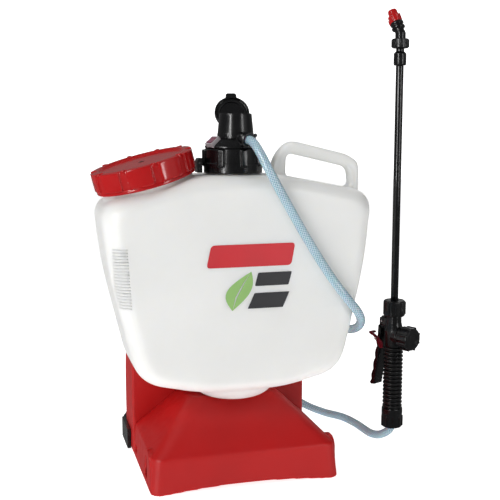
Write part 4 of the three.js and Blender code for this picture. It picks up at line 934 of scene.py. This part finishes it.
class SprayerMakeHarness(bpy.types.Operator):
    """Makes the shoulder straps, their pads and clips"""
    bl_idname = "sprayer.harness"
    bl_label = "Harness"

    def execute(self, context):
        for word, side in (("left", 1), ("right", -1)):
            def sided(line):
                return [((side * x, y, z), (side * a, b, c)) for (x, y, z), (a, b, c) in line]
            ribbon(f"upper_strap_{word}", sided(UPPER_WEB), 25, 1.8, ROOT, f"upper_web_{word}", "webbing")
            ribbon(f"lower_strap_{word}", sided(LOWER_WEB), 25, 1.8, ROOT, f"lower_web_{word}", "webbing")
            self.pad(word, sided(PAD_LINE))
            self.buckle(word, sided(BUCKLE_LINE))
            dressed(f"strap_clip_{word}", "black", 1.2)
            dressed(f"strap_anchor_{word}", "black", 0.8)
        return {"FINISHED"}

    def pad(self, word, line):
        """A crowned pad: swelled by a short cloth run, then sewn with two channels."""
        centres = smooth_line([Vector(at) for at, _ in line], 6)
        acrosses = smooth_line([Vector(way).normalized() for _, way in line], 6)
        count, across_steps = len(centres), 12
        bm = bmesh.new()
        faces = {}
        for i, (centre, across) in enumerate(zip(centres, acrosses)):
            way = (centres[min(i + 1, count - 1)] - centres[max(i - 1, 0)]).normalized()
            edge = (across - way * across.dot(way)).normalized()
            out = way.cross(edge)
            ends = min(i, count - 1 - i) / 4
            half = 26.5 * (min(1.0, 0.72 + 0.28 * ends) if ends < 1 else 1.0)
            thick = 4.2 * math.sqrt(min(1.0, 0.12 + ends * 0.88))
            for k in range(across_steps + 1):
                s = 2 * k / across_steps - 1
                t = thick * math.sqrt(max(0.0, 1 - abs(s) ** 5)) + 0.25
                for face in (-1, 1):
                    faces[i, k, face] = bm.verts.new((centre + edge * s * half + out * face * t) * MM)
        for i in range(count - 1):
            for k in range(across_steps):
                for face in (-1, 1):
                    bm.faces.new([faces[i + a, k + b, face] for a, b in ((0, 0), (1, 0), (1, 1), (0, 1))])
            for k in (0, across_steps):
                bm.faces.new([faces[i + a, k, face] for a, face in ((0, -1), (1, -1), (1, 1), (0, 1))])
        for i in (0, count - 1):
            for k in range(across_steps):
                bm.faces.new([faces[i, k + b, face] for b, face in ((0, -1), (1, -1), (1, 1), (0, 1))])
        bmesh.ops.recalc_face_normals(bm, faces=bm.faces)
        mesh = as_mesh(f"pad_{word}", bm)
        mesh = evaluated(mesh, [("REMESH", {"mode": "VOXEL", "voxel_size": 3.4 * MM}),
                                ("SMOOTH", {"factor": 0.5, "iterations": 2})])
        mesh = self.swelled(mesh)
        mesh = evaluated(mesh, [("SUBSURF", {"levels": 1})])
        piece = finished(f"shoulder_cushion_{word}", mesh, ROOT, f"shoulder_pad_{word}", "pad")
        self.channels(piece, centres, acrosses)

    def swelled(self, mesh):
        """One short cloth run with pressure, with how far a point may move capped."""
        start = [v.co.copy() for v in mesh.vertices]
        holder = placed("swelling", mesh)
        cloth = holder.modifiers.new("cloth", "CLOTH").settings
        cloth.use_pressure = True
        cloth.uniform_pressure_force = 4.0
        cloth.effector_weights.gravity = 0.0
        cloth.tension_stiffness = cloth.compression_stiffness = 12.0
        cloth.quality = 4
        scene = bpy.context.scene
        for step in range(1, 15):
            scene.frame_set(step)
        result = as_shown(holder)
        scene.frame_set(1)
        bpy.data.objects.remove(holder)
        most = 2.2 * MM
        for vertex, rest in zip(result.vertices, start):
            move = vertex.co - rest
            if move.length > most:
                vertex.co = rest + move.normalized() * most
        return result

    def channels(self, piece, centres, acrosses):
        """Two sewn channels along the pad, near its long edges."""
        for vertex in piece.data.vertices:
            here = vertex.co / MM
            i = min(range(len(centres)), key=lambda n: (centres[n] - here).length_squared)
            way = (centres[min(i + 1, len(centres) - 1)] - centres[max(i - 1, 0)]).normalized()
            edge = (acrosses[i] - way * acrosses[i].dot(way)).normalized()
            out = way.cross(edge)
            offset = here - centres[i]
            across, depth = offset.dot(edge), offset.dot(out)
            groove = math.exp(-((abs(across) - 20.5) / 1.5) ** 2) * 1.3
            vertex.co -= out * (math.copysign(min(groove, abs(depth) * 0.6), depth) * MM)

    def buckle(self, word, line):
        """A ladder buckle: a frame with three bars that the webbing threads through."""
        centre, across = Vector(line[1][0]), Vector(line[1][1]).normalized()
        way = (Vector(line[2][0]) - Vector(line[0][0])).normalized()
        edge = (across - way * across.dot(way)).normalized()
        out = way.cross(edge)
        place = Matrix.Translation(centre) @ Matrix((edge, out, -way)).transposed().to_4x4()
        parts = [block(x - 1.7, x + 1.7, -2.4, 2.4, -8.5, 8.5, place, 1.2) for x in (-15.2, 15.2)]
        parts += [block(-15.5, 15.5, -1.7, 1.7, z - 1.5, z + 1.5, place, 1.2) for z in (-7, 0, 7)]
        parts.append(block(-13, 13, -0.6, 0.6, -9, 9, place, 0.3))
        fused(f"ladder_buckle_{word}", parts, ROOT, f"adjuster_{word}", keep=0.5)


class SprayerMakeStage(bpy.types.Operator):
    """Makes the white floor and wall and the soft lights"""
    bl_idname = "sprayer.stage"
    bl_label = "Stage"

    def execute(self, context):
        settings = context.scene.sprayer_stage
        floor = bmesh.new()
        bmesh.ops.create_grid(floor, x_segments=8, y_segments=8, size=7.2, matrix=Matrix.Translation((0, 0, -0.0005)))
        # the wall only shows behind the floor's edge: it neither lights nor darkens the sprayer
        wall = lathe([(7.0, -0.0005), (7.0, 6.0), (5.0, 7.5), (0, 8.0)])
        for name, bm in (("paper_floor", floor), ("paper_wall", wall)):
            mesh = as_mesh(name, bm)
            mesh.materials.append(material("paper"))
            mesh.shade_smooth()
            paper = placed(name, mesh)
            paper.visible_glossy = False
            if name == "paper_wall":
                paper.visible_diffuse = paper.visible_shadow = paper.visible_transmission = False
        for name, place, size, power in LIGHTS:
            data = bpy.data.lights.new(name, "AREA")
            data.size = size
            if name.startswith("strip"):
                data.shape = "RECTANGLE"
                data.size_y = STRIP_LENGTH
            data.energy = settings.light * power
            light = placed(name, data)
            light.location = place
            light.rotation_mode = "QUATERNION"
            light.rotation_quaternion = (Vector((0, -0.02, 0.3)) - light.location).to_track_quat("-Z", "Y")
            light.visible_glossy = name != "top"
            light.visible_diffuse = not name.startswith("strip")
        world = bpy.data.worlds.new("studio")
        world.use_nodes = True
        world.node_tree.nodes["Background"].inputs["Color"].default_value = (1.0, 1.0, 1.0, 1)
        world.node_tree.nodes["Background"].inputs["Strength"].default_value = WORLD_LIGHT
        context.scene.world = world
        context.scene.view_settings.view_transform = "Standard"
        return {"FINISHED"}


class SprayerPanel(bpy.types.Panel):
    """Lists the sprayer's pieces and their settings"""
    bl_idname = "VIEW3D_PT_sprayer"
    bl_label = "Sprayer"
    bl_space_type = "VIEW_3D"
    bl_region_type = "UI"
    bl_category = "Sprayer"

    def draw(self, context):
        for group in ("sprayer_tank", "sprayer_mouldings", "sprayer_hose", "sprayer_stage"):
            settings = getattr(context.scene, group)
            box = self.layout.box()
            for name in settings.bl_rna.properties.keys():
                if name not in ("rna_type", "name"):
                    box.prop(settings, name)
        for operator in OPERATORS:
            self.layout.operator(operator.bl_idname)


GROUPS = {"sprayer_tank": SprayerTank, "sprayer_mouldings": SprayerMouldings,
          "sprayer_hose": SprayerHose, "sprayer_stage": SprayerStage}
OPERATORS = (SprayerCamera, SprayerMakeHose, SprayerMakeTank, SprayerMakeBase, SprayerMakeCap,
             SprayerMakeDrive, SprayerMakeLance, SprayerMakeHarness, SprayerMakeStage)


def register():
    for cls in (*GROUPS.values(), *OPERATORS, SprayerPanel):
        bpy.utils.register_class(cls)
    for name, cls in GROUPS.items():
        setattr(bpy.types.Scene, name, bpy.props.PointerProperty(type=cls))


def unregister():
    for name in GROUPS:
        delattr(bpy.types.Scene, name)
    for cls in reversed((*GROUPS.values(), *OPERATORS, SprayerPanel)):
        bpy.utils.unregister_class(cls)


def main():
    register()
    for operator in OPERATORS:
        group, name = operator.bl_idname.split(".")
        getattr(getattr(bpy.ops, group), name)()
    bpy.context.view_layer.update()


if __name__ == "__main__":
    main()
